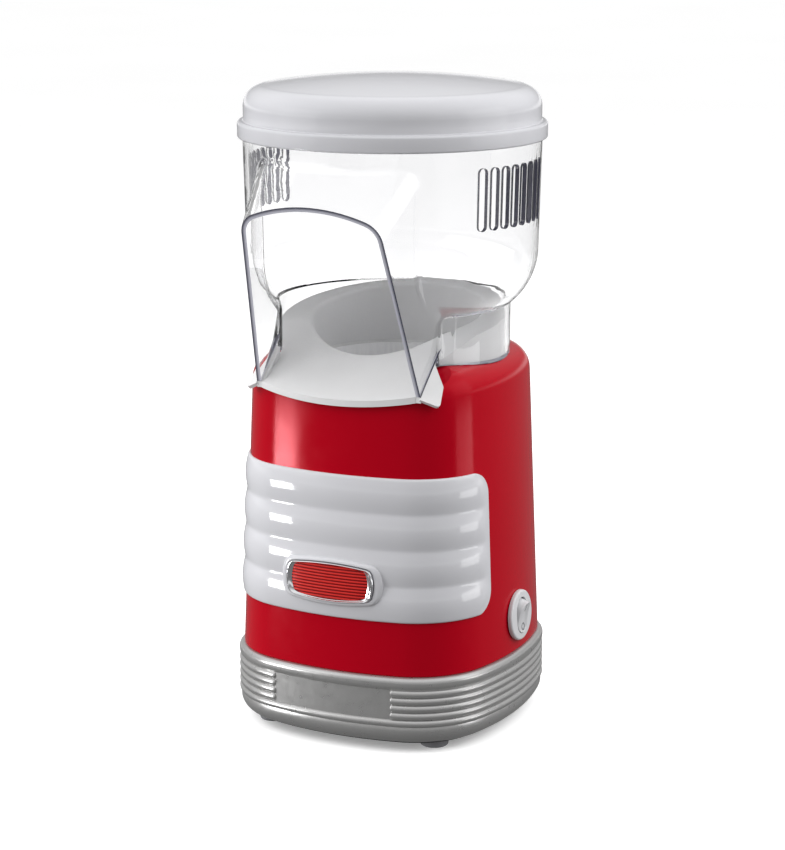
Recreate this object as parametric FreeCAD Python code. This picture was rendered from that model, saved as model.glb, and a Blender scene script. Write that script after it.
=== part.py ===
import FreeCAD, Part
import math
import os

V = FreeCAD.Vector
AXIS_X = V(1, 0, 0)
AXIS_Y = V(0, 1, 0)
AXIS_Z = V(0, 0, 1)

# Millimetres, +Z up, the front of the popcorn maker faces -Y and the rocker switch faces +X.

# Plan outline shared by the base, the housing and the front band: bowed sides and corner arcs
HALF_WIDTH = 64.4
SIDE_RADIUS = 140.0
CORNER_RADIUS = 38.0

# General fits
SLIDE_GAP = 0.3
SEAT_GAP = 0.3
RUN_GAP = 0.04
PRESS_GAP = 0.01

# Feet, bottom plate and ribbed base ring
FOOT_HEIGHT = 3.2
FOOT_RADIUS = 6.5
FOOT_REACH = 41.7
FOOT_BORE = 3.5
PLATE_THICK = 2.4
PLATE_INSET = 5.7
PILLAR_RADIUS = 4.2
PILLAR_HEIGHT = 8.4
GRILLE_SLOTS = 16
GRILLE_INNER = 13.0
GRILLE_OUTER = 29.0
GRILLE_WIDTH = 3.4
BASE_TOP = 36.1
BASE_EDGE = 4.3
BASE_WALL_INNER = -0.9
BASE_PROUD = 1.4
BEAD_BULGE = 1.0
TOP_BEAD = 5.8
RIB_PITCH = 3.5
RIB_COUNT = 4
LOW_BEAD = 3.4
BOWL_SAG = 1.6
BASE_LIP_OUT = -4.2
BASE_LIP_IN = -5.4
BASE_FLANGE_IN = -7.4
BASE_FLANGE_THICK = 2.0
PLAQUE_HALF = 28.5
PLAQUE_DEPTH = 0.25

# Red housing shell
HOUSING_RISE = 138.9
HOUSING_WALL = 2.5
DRAFT_DEG = 2.35
SHOULDER_RADIUS = 13.0
TONGUE_OUT = -1.2
TONGUE_IN = -2.8
TONGUE_DEPTH = 4.0
BOSS_RADIUS = 4.5
BOSS_TOP = 52.0
BOSS_WEB = 2.0

# White front band with four lobes, and the badge on it
BAND_LOW = 61.2
BAND_HIGH = 127.1
BAND_LOBES = 4
BAND_EDGE = 0.9
BAND_CREST = 2.0
BAND_BACK = 0.05
BAND_END_Y = -24.0
BAND_CORNER = 11.0
BADGE_Z = 78.0
PAD_HALF = 25.5
PAD_HEIGHT = 22.0
PAD_PROUD = 3.4
BEZEL_HALF = 22.0
BEZEL_HEIGHT = 18.0
BEZEL_BAND = 2.2
BEZEL_PROUD = 4.4
BADGE_FLOOR = 2.2
BADGE_BOW = 0.09
BADGE_CORNER = 3.0
BADGE_RIBS = 9
BADGE_RIB_DEPTH = 0.3
BADGE_PROUD = 3.2

# Chute deck: a rear slope and a front ramp round the mouth of the popping chamber
COLLAR_MARGIN = 14.5
DECK_THICK = 2.5
LIP_REACH = 61.8
LIP_SIDE_Y = -55.8
LIP_HALF = 38.5
LIP_DROP = 13.7
RAMP_DEG = 30.2
REAR_DEG = 9.0
REAR_RISE = 22.0
REAR_Y = 47.0
BEND_RADIUS = 30.0
FUNNEL_FLARE = 0.1
FUNNEL_ROUND = 2.0
EAR_LENGTH = 20.5
EAR_THICK = 1.8
EAR_FRONT_FLARE = 7.6
EAR_FRONT_BACK = 4.3
EAR_FRONT_DROP = 3.6
EAR_REAR_FLARE = 7.0
EAR_REAR_FORWARD = 4.6
EAR_REAR_DROP = 8.4
EAR_ROUND = 1.6

# Clear hood: neck, bowl, tapered cylinder and the forward nose with its arched mouth
HOOD_WALL = 2.2
BOWL_RADIUS = 67.0
BOWL_RISE = 47.0
NECK_RISE = 21.6
HOOD_TOP_RADIUS = 68.5
HOOD_RISE = 104.0
NOSE_FOOT_HALF = 41.0
NOSE_REAR_FOOT_HALF = 41.9
NOSE_TOP_HALF = 34.0
NOSE_REAR_TOP_HALF = 42.0
NOSE_HEIGHT = 89.7
NOSE_CROWN = 8.0
NOSE_CORNER = 11.0
NOSE_LEAN_DEG = 18.6
NOSE_RISE_DEG = 42.1
NOSE_LENGTH = 45.0
NOSE_BLEND = 6.0
SKIRT_DROP = 6.0
SLOT_COUNT = 8
SLOT_FIRST_DEG = 62.0
SLOT_PITCH_DEG = 5.9
SLOT_WIDTH = 4.6
SLOT_HEIGHT = 28.0
SLOT_DROP = 29.0

# White lid, also the measuring cap
LID_SKIRT_WALL = 1.9
LID_OVERLAP = 7.0
LID_FLANGE = 7.7
LID_STEP = 2.7
LID_DOME_SIDE = 6.0
LID_SHOULDER = 9.0
LID_RISE = 21.0
LID_CROWN_RISE = 4.5
LID_WALL = 2.0
LID_EDGE_ROUND = 1.2

# Popping chamber, jacket, heater, fan and motor stand on one column set back from the hood's axis
COLUMN_Y = 5.0
POT_RADIUS = 37.5
POT_WALL = 1.0
POT_SINK = 7.0
POT_ROUND = 6.0
POT_FLANGE_WIDTH = 4.0
POT_DOME = 3.0
LOUVRE_COUNT = 18
LOUVRE_LENGTH = 9.0
LOUVRE_WIDTH = 2.0
LOUVRE_TILT_DEG = 35.0
LOUVRE_RISE = 12.0
GASKET_THICK = 1.5
JACKET_WALL = 1.0
HEATER_GAP = 2.0
MICA_HEIGHT = 16.8
MICA_THICK = 1.0
MICA_HALF = 27.6
MICA_ARM = 3.0
COIL_WIRE = 2.4
COIL_PITCH = 3.6
COIL_TURNS = 3
COIL_SAMPLES = 60
FAN_HEADROOM = 7.0
FAN_HEIGHT = 14.0
FAN_RADIUS = 33.0
FAN_BLADES = 11
FAN_BLADE_THICK = 1.4
FAN_SWEEP_DEG = 40.0
FAN_DISC = 1.4
FAN_HUB = 6.0
FAN_FLOOR_GAP = 4.6
DUCT_WALL = 4.5
DUCT_FLOOR = 2.4
DUCT_WINDOWS = 6
DUCT_WINDOW_RADIUS = 5.5
LEG_RADIUS = 3.6
LEG_INSET = 1.2
MOTOR_RAISE = 20.6
MOTOR_RADIUS = 17.5
MOTOR_LENGTH = 30.0
MOTOR_WALL = 1.0
ENDCAP_THICK = 4.0
MAGNET_THICK = 2.2
MAGNET_SPAN_DEG = 120.0
ARMATURE_RADIUS = 12.4
ARMATURE_LENGTH = 18.0
ARMATURE_SLOTS = 5
SHAFT_RADIUS = 1.5
BUSH_RADIUS = 3.2
BUSH_LENGTH = 4.0
BOARD_RADIUS = 14.0
BOARD_THICK = 1.6
BOARD_DROP = 4.0
DIODE_RADIUS = 1.4
DIODE_LENGTH = 5.2
THERMOSTAT_RADIUS = 7.5
THERMOSTAT_HEIGHT = 6.0
THERMOSTAT_RISE = 40.0
FUSE_RADIUS = 2.0
FUSE_LENGTH = 14.0
FUSE_TURN_DEG = 130.0

# Screws
SCREW_SHANK = 1.6
SCREW_HEAD = 3.0
SCREW_HEAD_HEIGHT = 1.8
SCREW_REACH = 12.0

# Round rocker switch on the right-hand side
SWITCH_Y = 2.0
SWITCH_Z = 52.7
SWITCH_BEZEL = 11.8
SWITCH_BEZEL_THICK = 2.0
SWITCH_BARREL = 9.9
SWITCH_DEPTH = 14.0
SWITCH_POCKET_HALF = 5.6
SWITCH_POCKET_LENGTH = 17.0
SWITCH_POCKET_DEPTH = 9.0
ROCKER_TILT_DEG = 11.0
ROCKER_REACH = 3.4
ROCKER_DISH = 1.5
ROCKER_PIN = 1.2
ROCKER_PIN_LENGTH = 1.2
ROCKER_PIVOT_DEPTH = 1.5
TAB_WIDTH = 4.8
TAB_THICK = 0.8
TAB_LENGTH = 8.0

# Cord gland in the rear of the base ring
GLAND_Z = 22.6
GLAND_RADIUS = 6.0
GLAND_FLANGE = 8.0
GLAND_FLANGE_THICK = 2.0
GLAND_BORE = 3.6

# Terminal block behind the gland
BLOCK_WIDTH = 24.0
BLOCK_DEPTH = 10.0
BLOCK_HEIGHT = 11.0
BLOCK_WAYS = 3

# Levels worked out from the sizes above
PLATE_TOP = FOOT_HEIGHT + PLATE_THICK
PILLAR_TOP = PLATE_TOP + PILLAR_HEIGHT
HOUSING_TOP = BASE_TOP + HOUSING_RISE
DRAFT = math.tan(math.radians(DRAFT_DEG))
RAMP = math.tan(math.radians(RAMP_DEG))
REAR = math.tan(math.radians(REAR_DEG))
LIP_Z = HOUSING_TOP - LIP_DROP
REAR_Z = HOUSING_TOP + REAR_RISE
NECK_TOP_Z = HOUSING_TOP + NECK_RISE
BOWL_TOP_Z = HOUSING_TOP + BOWL_RISE
HOOD_TOP_Z = HOUSING_TOP + HOOD_RISE
SLOT_Z = HOOD_TOP_Z - SLOT_DROP
LID_LOW_Z = HOOD_TOP_Z - LID_OVERLAP
LID_TOP_Z = HOOD_TOP_Z + LID_RISE
ENDCAP_LOW = PLATE_TOP + MOTOR_RAISE
MOTOR_LOW = ENDCAP_LOW + ENDCAP_THICK
DUCT_LOW = MOTOR_LOW + MOTOR_LENGTH
DUCT_FLOOR_TOP = DUCT_LOW + DUCT_FLOOR
FAN_LOW = DUCT_FLOOR_TOP + FAN_FLOOR_GAP
FAN_TOP = FAN_LOW + FAN_HEIGHT
DUCT_TOP = FAN_TOP + FAN_HEADROOM
MICA_TOP = DUCT_TOP + MICA_HEIGHT
POT_FLOOR = MICA_TOP + HEATER_GAP + POT_WALL
POT_RIM = HOUSING_TOP - POT_SINK
POT_FLANGE = POT_RADIUS + POT_FLANGE_WIDTH
COLLAR_RADIUS = POT_RADIUS + COLLAR_MARGIN
JACKET_INNER = POT_FLANGE - JACKET_WALL
DUCT_INNER = POT_FLANGE - DUCT_WALL
LEG_REACH = POT_FLANGE - LEG_INSET - LEG_RADIUS
LID_SKIRT = HOOD_TOP_RADIUS + SLIDE_GAP
LID_RADIUS = LID_SKIRT + LID_SKIRT_WALL
LID_DOME_RADIUS = LID_RADIUS - LID_STEP
COLUMN = V(0, COLUMN_Y, 0)
FAR = 200.0
TINY = 0.01


def chain(place, start, *steps):
    """Edges through points: a step is a point for a line, or (middle, end) for an arc."""
    edges = []
    here = start
    for step in steps:
        if isinstance(step[0], tuple):
            middle, end = step
            edges.append(Part.Arc(place(*here), place(*middle), place(*end)).toShape())
        else:
            end = step
            edges.append(Part.LineSegment(place(*here), place(*end)).toShape())
        here = end
    return edges


def in_xz(x, z):
    return V(x, 0, z)


def in_yz(y, z):
    return V(0, y, z)


def turned(place, start, *steps):
    """Solid of revolution about the vertical axis from a closed (radius, height) profile."""
    face = Part.Face(Part.Wire(chain(place, start, *steps, start)))
    return face.revolve(V(0, 0, 0), AXIS_Z, 360)


def tube(outer, inner, low, high):
    ring = Part.makeCylinder(outer, high - low, V(0, 0, low))
    return ring.cut(Part.makeCylinder(inner, high - low, V(0, 0, low)))


def rod(radius, low, high, x=0.0, y=0.0):
    return Part.makeCylinder(radius, high - low, V(x, y, low))


def block(x0, x1, y0, y1, z0, z1):
    return Part.makeBox(x1 - x0, y1 - y0, z1 - z0, V(x0, y0, z0))


def polar(radius, degrees):
    return radius * math.cos(math.radians(degrees)), radius * math.sin(math.radians(degrees))


def spun(shape, degrees):
    copy = shape.copy()
    copy.rotate(V(0, 0, 0), AXIS_Z, degrees)
    return copy


def on_column(shape):
    return shape.translated(COLUMN)


def outline(offset, z):
    """Plan outline of the body, moved outwards by offset: eight tangent arcs, starting at the rear."""
    lead = SIDE_RADIUS - HALF_WIDTH
    span = SIDE_RADIUS - CORNER_RADIUS
    corner = (math.sqrt(2 * span ** 2 - lead ** 2) - lead) / 2
    meet = math.degrees(math.atan2(corner, corner + lead))
    edges = []
    for quarter in range(4):
        start = 90.0 * quarter
        for centre, radius, first, last in (
                ((-lead, 0.0), SIDE_RADIUS + offset, 0.0, meet),
                ((corner, corner), CORNER_RADIUS + offset, meet, 90.0 - meet),
                ((0.0, -lead), SIDE_RADIUS + offset, 90.0 - meet, 90.0)):
            points = []
            for angle in (first, (first + last) / 2, last):
                x, y = polar(radius, angle)
                points.append(V(centre[0] + x, centre[1] + y, z))
            arc = Part.Arc(*points).toShape()
            arc.rotate(V(0, 0, 0), AXIS_Z, start + 90.0)
            edges.append(arc)
    return Part.Wire(edges)


def swept(start, *steps):
    """Ring swept round the plan outline from a closed (offset, height) profile."""
    def place(offset, z):
        return V(0, HALF_WIDTH + offset, z)
    profile = Part.Wire(chain(place, start, *steps, start))
    return outline(0.0, start[1]).makePipeShell([profile], True, False)


def slab(offset, low, high):
    return Part.Face(outline(offset, low)).extrude(V(0, 0, high - low))


def draft_offset(z):
    """Offset of the housing's drafted wall from the plan outline at a height."""
    return -DRAFT * (z - BASE_TOP)


def feet_places():
    return [(sx * FOOT_REACH, sy * FOOT_REACH) for sx in (-1, 1) for sy in (-1, 1)]


def leg_places():
    return [polar(LEG_REACH, 45.0 + 90.0 * quarter) for quarter in range(4)]


def screw(x, y, head_low):
    """Pan-head screw: its head seats at head_low + SCREW_HEAD_HEIGHT and its shank goes up."""
    head = rod(SCREW_HEAD, head_low, head_low + SCREW_HEAD_HEIGHT, x, y)
    seat = head_low + SCREW_HEAD_HEIGHT
    return head.fuse(rod(SCREW_SHANK, seat, seat + PILLAR_HEIGHT + SCREW_REACH, x, y))


def feet():
    solids = []
    for x, y in feet_places():
        foot = rod(FOOT_RADIUS, 0.0, FOOT_HEIGHT, x, y)
        solids.append(foot.cut(rod(FOOT_BORE, 0.0, FOOT_HEIGHT, x, y)))
    return Part.makeCompound(solids)


def base_screws():
    return Part.makeCompound([screw(x, y, FOOT_HEIGHT - SCREW_HEAD_HEIGHT) for x, y in feet_places()])


def bottom_plate():
    plate = slab(-PLATE_INSET, FOOT_HEIGHT, PLATE_TOP)
    pillars = [rod(PILLAR_RADIUS, PLATE_TOP, PILLAR_TOP, x, y) for x, y in feet_places()]
    plate = plate.multiFuse(pillars)
    holes = [rod(SCREW_SHANK + RUN_GAP, FOOT_HEIGHT, PILLAR_TOP, x, y) for x, y in feet_places()]
    for x, y in leg_places():
        holes.append(rod(SCREW_SHANK + RUN_GAP, FOOT_HEIGHT, PLATE_TOP, x, y + COLUMN_Y))
    half = GRILLE_WIDTH / 2
    slot = block(GRILLE_INNER, GRILLE_OUTER, -half, half, FOOT_HEIGHT, PLATE_TOP)
    slot = slot.fuse(rod(half, FOOT_HEIGHT, PLATE_TOP, GRILLE_OUTER))
    slot = slot.fuse(rod(half, FOOT_HEIGHT, PLATE_TOP, GRILLE_INNER))
    for index in range(GRILLE_SLOTS):
        holes.append(on_column(spun(slot, 360.0 * index / GRILLE_SLOTS)))
    return plate.cut(Part.makeCompound(holes))


def rib_levels():
    top = BASE_TOP - TOP_BEAD
    levels = [BASE_TOP, top]
    for index in range(RIB_COUNT):
        levels.append(top - RIB_PITCH * (index + 1))
    levels.append(levels[-1] - LOW_BEAD)
    return levels


def base_ring():
    levels = rib_levels()
    steps = [(BASE_PROUD, BASE_TOP)]
    for high, low in zip(levels, levels[1:]):
        steps.append(((BASE_PROUD + BEAD_BULGE, (high + low) / 2), (BASE_PROUD, low)))
    chord_mid = ((BASE_PROUD + BASE_LIP_OUT) / 2 + BOWL_SAG, (levels[-1] + BASE_EDGE) / 2 - BOWL_SAG)
    flange_low = PLATE_TOP
    flange_top = flange_low + BASE_FLANGE_THICK
    ring = swept(
        (BASE_WALL_INNER, BASE_TOP), *steps,
        (chord_mid, (BASE_LIP_OUT, BASE_EDGE)),
        (BASE_LIP_IN, BASE_EDGE), (BASE_LIP_IN, flange_low),
        (BASE_FLANGE_IN, flange_low), (BASE_FLANGE_IN, flange_top),
        (BASE_LIP_IN + BASE_FLANGE_THICK, flange_top), (BASE_WALL_INNER, levels[-1]))
    plaque = swept(
        (BASE_PROUD - PLAQUE_DEPTH, levels[1]), (BASE_PROUD + 2 * BEAD_BULGE, levels[1]),
        (BASE_PROUD + 2 * BEAD_BULGE, levels[-2]), (BASE_PROUD - PLAQUE_DEPTH, levels[-2]))
    front = block(-PLAQUE_HALF, PLAQUE_HALF, -FAR, 0.0, 0.0, BASE_TOP)
    gland_hole = Part.makeCylinder(GLAND_RADIUS + PRESS_GAP, FAR, V(0, 0, GLAND_Z), AXIS_Y)
    return ring.cut(plaque.common(front)).cut(gland_hole)


def drafted(inset, low, high, shoulder):
    """Drafted body of the housing with rounded top edges."""
    wires = [outline(draft_offset(z) - inset, z) for z in (low, high)]
    body = Part.makeLoft(wires, True, True)
    top = [e for e in body.Edges if min(v.Point.z for v in e.Vertexes) > high - TINY]
    return body.makeFillet(shoulder, top)


def grown_housing(gap):
    """Outer body of the housing, grown by a gap all over."""
    return drafted(-gap, BASE_TOP, HOUSING_TOP + gap, SHOULDER_RADIUS + gap)


def under_deck(depth):
    """Block below the deck's top surface, sunk square to it by depth, its bend rounded."""
    ramp_z = LIP_Z - depth / math.cos(math.radians(RAMP_DEG))
    rear_z = REAR_Z - depth / math.cos(math.radians(REAR_DEG))
    bend_y = (rear_z - REAR * REAR_Y - ramp_z - RAMP * LIP_REACH) / (RAMP - REAR)
    bend_z = rear_z + REAR * (bend_y - REAR_Y)
    front_y = bend_y - FAR / 2
    front_z = bend_z - RAMP * FAR / 2
    back_y = bend_y + FAR / 2
    back_z = bend_z + REAR * FAR / 2
    low = front_z - FAR / 2
    edges = chain(in_yz, (front_y, front_z), (bend_y, bend_z), (back_y, back_z), (back_y, low),
                  (front_y, low), (front_y, front_z))
    body = Part.Face(Part.Wire(edges)).extrude(V(2 * FAR, 0, 0)).translated(V(-FAR, 0, 0))
    bend = [e for e in body.Edges
            if all(abs(v.Y - bend_y) < TINY and abs(v.Z - bend_z) < TINY for v in e.Vertexes)]
    return body.makeFillet(BEND_RADIUS - depth, bend)


def ramp_wedge(depth):
    """Space above the front ramp's plane, sunk square to it by depth."""
    ramp_z = LIP_Z - depth / math.cos(math.radians(RAMP_DEG))
    edges = chain(in_yz, (-LIP_REACH - FAR, ramp_z - RAMP * FAR), (FAR, ramp_z + RAMP * (FAR + LIP_REACH)),
                  (-LIP_REACH - FAR, ramp_z + RAMP * (FAR + LIP_REACH)),
                  (-LIP_REACH - FAR, ramp_z - RAMP * FAR))
    return Part.Face(Part.Wire(edges)).extrude(V(2 * FAR, 0, 0)).translated(V(-FAR, 0, 0))


def switch_frame(shape):
    """Place a shape built along +X at the origin on the housing's right-hand wall."""
    lead = SIDE_RADIUS - HALF_WIDTH
    wall = math.sqrt((SIDE_RADIUS + draft_offset(SWITCH_Z)) ** 2 - SWITCH_Y ** 2) - lead
    copy = shape.copy()
    copy.rotate(V(0, 0, 0), AXIS_Y, -DRAFT_DEG)
    return copy.translated(V(wall, SWITCH_Y, SWITCH_Z))


def housing_shell():
    outer = drafted(0.0, BASE_TOP, HOUSING_TOP, SHOULDER_RADIUS)
    inner = drafted(HOUSING_WALL, BASE_TOP - HOUSING_WALL, HOUSING_TOP - HOUSING_WALL,
                    SHOULDER_RADIUS - HOUSING_WALL)
    outer = outer.cut(ramp_wedge(DECK_THICK))
    inner = inner.cut(ramp_wedge(DECK_THICK + HOUSING_WALL))
    tongue_low = BASE_TOP - TONGUE_DEPTH
    tongue = swept((TONGUE_OUT, tongue_low), (TONGUE_OUT, BASE_TOP + HOUSING_WALL / 2),
                   (TONGUE_IN, BASE_TOP + HOUSING_WALL / 2), (TONGUE_IN, tongue_low))
    shell = outer.cut(inner).fuse(tongue)
    for x, y in feet_places():
        boss = rod(BOSS_RADIUS, PILLAR_TOP, BOSS_TOP, x, y)
        web = block(0.0, FAR, -BOSS_WEB / 2, BOSS_WEB / 2, BASE_TOP, BOSS_TOP)
        web = spun(web, math.degrees(math.atan2(y, x))).translated(V(x, y, 0))
        boss = boss.fuse(web.common(drafted(HOUSING_WALL / 2, BASE_TOP - HOUSING_WALL, HOUSING_TOP,
                                            SHOULDER_RADIUS)))
        pilot = rod(SCREW_SHANK + PRESS_GAP, PILLAR_TOP, PILLAR_TOP + SCREW_REACH + HOUSING_WALL, x, y)
        shell = shell.fuse(boss).cut(pilot)
    well = rod(POT_FLANGE + HOUSING_WALL, DUCT_TOP, FAR, 0, COLUMN_Y)
    hole = Part.makeCylinder(SWITCH_BARREL + RUN_GAP, SWITCH_DEPTH, V(-SWITCH_DEPTH / 2, 0, 0), AXIS_X)
    return shell.cut(well).cut(switch_frame(hole))


def band_ring(inner, outer, low, high):
    """Drafted ring round the housing between two offsets from its wall."""
    return swept((draft_offset(low) + inner, low), (draft_offset(low) + outer, low),
                 (draft_offset(high) + outer, high), (draft_offset(high) + inner, high))


def barrel(half, height):
    """Badge outline seen from the front, bowed on all four sides, as a prism along Y."""
    bow = BADGE_BOW * height
    x, z = half - bow, height / 2 - bow
    edges = chain(in_xz, (-x, -z), ((0, -height / 2), (x, -z)), ((half, 0), (x, z)),
                  ((0, height / 2), (-x, z)), ((-half, 0), (-x, -z)))
    prism = Part.Face(Part.Wire(edges)).extrude(V(0, -FAR, 0)).translated(V(0, 0, BADGE_Z))
    corners = [e for e in prism.Edges if abs(e.Vertexes[0].Y - e.Vertexes[-1].Y) > FAR / 2]
    return prism.makeFillet(BADGE_CORNER, corners)


def front_band():
    pitch = (BAND_HIGH - BAND_LOW) / BAND_LOBES
    steps = [(draft_offset(BAND_LOW) + BAND_EDGE, BAND_LOW)]
    for lobe in range(BAND_LOBES):
        low = BAND_LOW + pitch * lobe
        middle = low + pitch / 2
        high = low + pitch
        steps.append(((draft_offset(middle) + BAND_CREST, middle), (draft_offset(high) + BAND_EDGE, high)))
    ring = swept((draft_offset(BAND_LOW) + BAND_BACK, BAND_LOW), *steps,
                 (draft_offset(BAND_HIGH) + BAND_BACK, BAND_HIGH))
    window = block(-FAR, FAR, -FAR, BAND_END_Y, BAND_LOW, BAND_HIGH)
    ends = [e for e in window.Edges
            if abs(e.Length - 2 * FAR) < TINY and e.BoundBox.YMin > BAND_END_Y - TINY]
    band = ring.common(window.makeFillet(BAND_CORNER, ends))
    low = BADGE_Z - PAD_HEIGHT
    high = BADGE_Z + PAD_HEIGHT
    pad = band_ring(BAND_BACK, PAD_PROUD, low, high).common(barrel(PAD_HALF, PAD_HEIGHT))
    pocket = band_ring(BADGE_FLOOR, PAD_PROUD + BEZEL_PROUD, low, high)
    return band.fuse(pad).cut(pocket.common(barrel(BEZEL_HALF, BEZEL_HEIGHT)))


def badge_bezel():
    low = BADGE_Z - BEZEL_HEIGHT
    high = BADGE_Z + BEZEL_HEIGHT
    ring = band_ring(BADGE_FLOOR, BEZEL_PROUD, low, high)
    outer = barrel(BEZEL_HALF - SLIDE_GAP / 2, BEZEL_HEIGHT - SLIDE_GAP)
    inner = barrel(BEZEL_HALF - BEZEL_BAND, BEZEL_HEIGHT - 2 * BEZEL_BAND)
    return ring.common(outer.cut(inner))


def badge_plate():
    height = BEZEL_HEIGHT - 2 * BEZEL_BAND - SLIDE_GAP
    pitch = height / BADGE_RIBS
    low = BADGE_Z - height / 2
    steps = [(draft_offset(low) + BADGE_PROUD, low)]
    for rib in range(BADGE_RIBS):
        middle = low + pitch * (rib + 0.5)
        high = low + pitch * (rib + 1)
        steps.append(((draft_offset(middle) + BADGE_PROUD + BADGE_RIB_DEPTH, middle),
                      (draft_offset(high) + BADGE_PROUD, high)))
    high = low + height
    ring = swept((draft_offset(low) + BADGE_FLOOR, low), *steps, (draft_offset(high) + BADGE_FLOOR, high))
    return ring.common(barrel(BEZEL_HALF - BEZEL_BAND - SLIDE_GAP / 2, height))


def ramp_height(y):
    return LIP_Z + RAMP * (y + LIP_REACH)


def nose_border(distance):
    """Point (y, z) on the nose's lower border, a distance back from the foot of the mouth."""
    foot_z = ramp_height(LIP_SIDE_Y)
    rise = math.radians(NOSE_RISE_DEG)
    return LIP_SIDE_Y + distance * math.cos(rise), foot_z + distance * math.sin(rise)


def ear():
    """Right-hand ear: a cheek beside the ramp and a thin flap flaring down and out from it."""
    inner_x = LIP_HALF - DECK_THICK / 2
    outer_x = NOSE_FOOT_HALF
    drop = SEAT_GAP / math.cos(math.radians(NOSE_RISE_DEG))
    front_y, front_z = nose_border(SEAT_GAP)
    rear_y, rear_z = nose_border(EAR_LENGTH)
    under = DECK_THICK / math.cos(math.radians(RAMP_DEG))
    edges = chain(in_yz, (front_y, front_z - drop), (rear_y, rear_z - drop),
                  (rear_y, ramp_height(rear_y) - under), (front_y, ramp_height(front_y) - under),
                  (front_y, front_z - drop))
    cheek = Part.Face(Part.Wire(edges)).extrude(V(outer_x - inner_x, 0, 0)).translated(V(inner_x, 0, 0))
    top_front = V(outer_x - EAR_THICK / 2, front_y, front_z - drop - EAR_THICK)
    top_rear = V(outer_x - EAR_THICK / 2, rear_y, rear_z - drop - EAR_THICK)
    low_front = top_front + V(EAR_FRONT_FLARE, EAR_FRONT_BACK, -EAR_FRONT_DROP)
    normal = (low_front - top_front).cross(top_rear - top_front).normalize()
    low_rear = top_rear + V(EAR_REAR_FLARE, -EAR_REAR_FORWARD, -EAR_REAR_DROP)
    low_rear = low_rear - normal * normal.dot(low_rear - top_front)
    corners = [top_front, top_rear, low_rear, low_front, top_front]
    flap = Part.Face(Part.makePolygon(corners)).extrude(normal * EAR_THICK)
    free = [e for e in flap.Edges if abs(e.Length - EAR_THICK) < TINY
            and min(e.CenterOfMass.distanceToPoint(p) for p in (low_front, low_rear)) < EAR_THICK]
    shoulder = grown_housing(SEAT_GAP).cut(ramp_wedge(DECK_THICK))
    return cheek.fuse(flap.makeFillet(EAR_ROUND, free).cut(shoulder))


def chute_deck():
    side_y = -math.sqrt(COLLAR_RADIUS ** 2 - LIP_HALF ** 2)
    edges = chain(lambda x, y: V(x, y, 0),
                  (-LIP_HALF, LIP_SIDE_Y), ((0, -LIP_REACH), (LIP_HALF, LIP_SIDE_Y)), (LIP_HALF, side_y),
                  ((0, COLLAR_RADIUS), (-LIP_HALF, side_y)), (-LIP_HALF, LIP_SIDE_Y))
    plan = Part.Face(Part.Wire(edges)).extrude(V(0, 0, 2 * FAR))
    below = under_deck(0.0)
    plate = plan.common(below.cut(under_deck(DECK_THICK)))
    collar = tube(COLLAR_RADIUS, COLLAR_RADIUS - DECK_THICK, HOUSING_TOP - SKIRT_DROP, FAR + FAR)
    collar = collar.cut(grown_housing(0.0))
    funnel_low = POT_RIM + GASKET_THICK
    rise = REAR_Z + FUNNEL_ROUND - funnel_low
    mouth = Part.makeCone(POT_RADIUS, POT_RADIUS + FUNNEL_FLARE * rise, rise, V(0, COLUMN_Y, funnel_low))
    funnel = Part.makeCone(POT_RADIUS + DECK_THICK, POT_RADIUS + DECK_THICK + FUNNEL_FLARE * rise, rise,
                           V(0, COLUMN_Y, funnel_low))
    deck = plate.multiFuse([collar.common(below), funnel.common(below)]).cut(mouth)
    rim = [e for e in deck.Edges if on_rim(e)]
    deck = deck.makeFillet(FUNNEL_ROUND, rim)
    right = ear()
    return deck.multiFuse([right, right.mirror(V(0, 0, 0), AXIS_X)])


def on_rim(edge):
    """True for the edges where the funnel breaks through the deck's top surface."""
    funnel_low = POT_RIM + GASKET_THICK
    for point in edge.discretize(5):
        radius = math.hypot(point.x, point.y - COLUMN_Y)
        wall = POT_RADIUS + FUNNEL_FLARE * (point.z - funnel_low)
        if abs(radius - wall) > TINY or point.z < ramp_height(point.y) - DECK_THICK and point.y < 0:
            return False
        if point.z < funnel_low + DECK_THICK:
            return False
    return len(edge.Vertexes) == 1 or not edge_is_straight(edge)


def edge_is_straight(edge):
    ends = [v.Point for v in edge.Vertexes]
    return abs(edge.Length - ends[0].distanceToPoint(ends[-1])) < TINY


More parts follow.
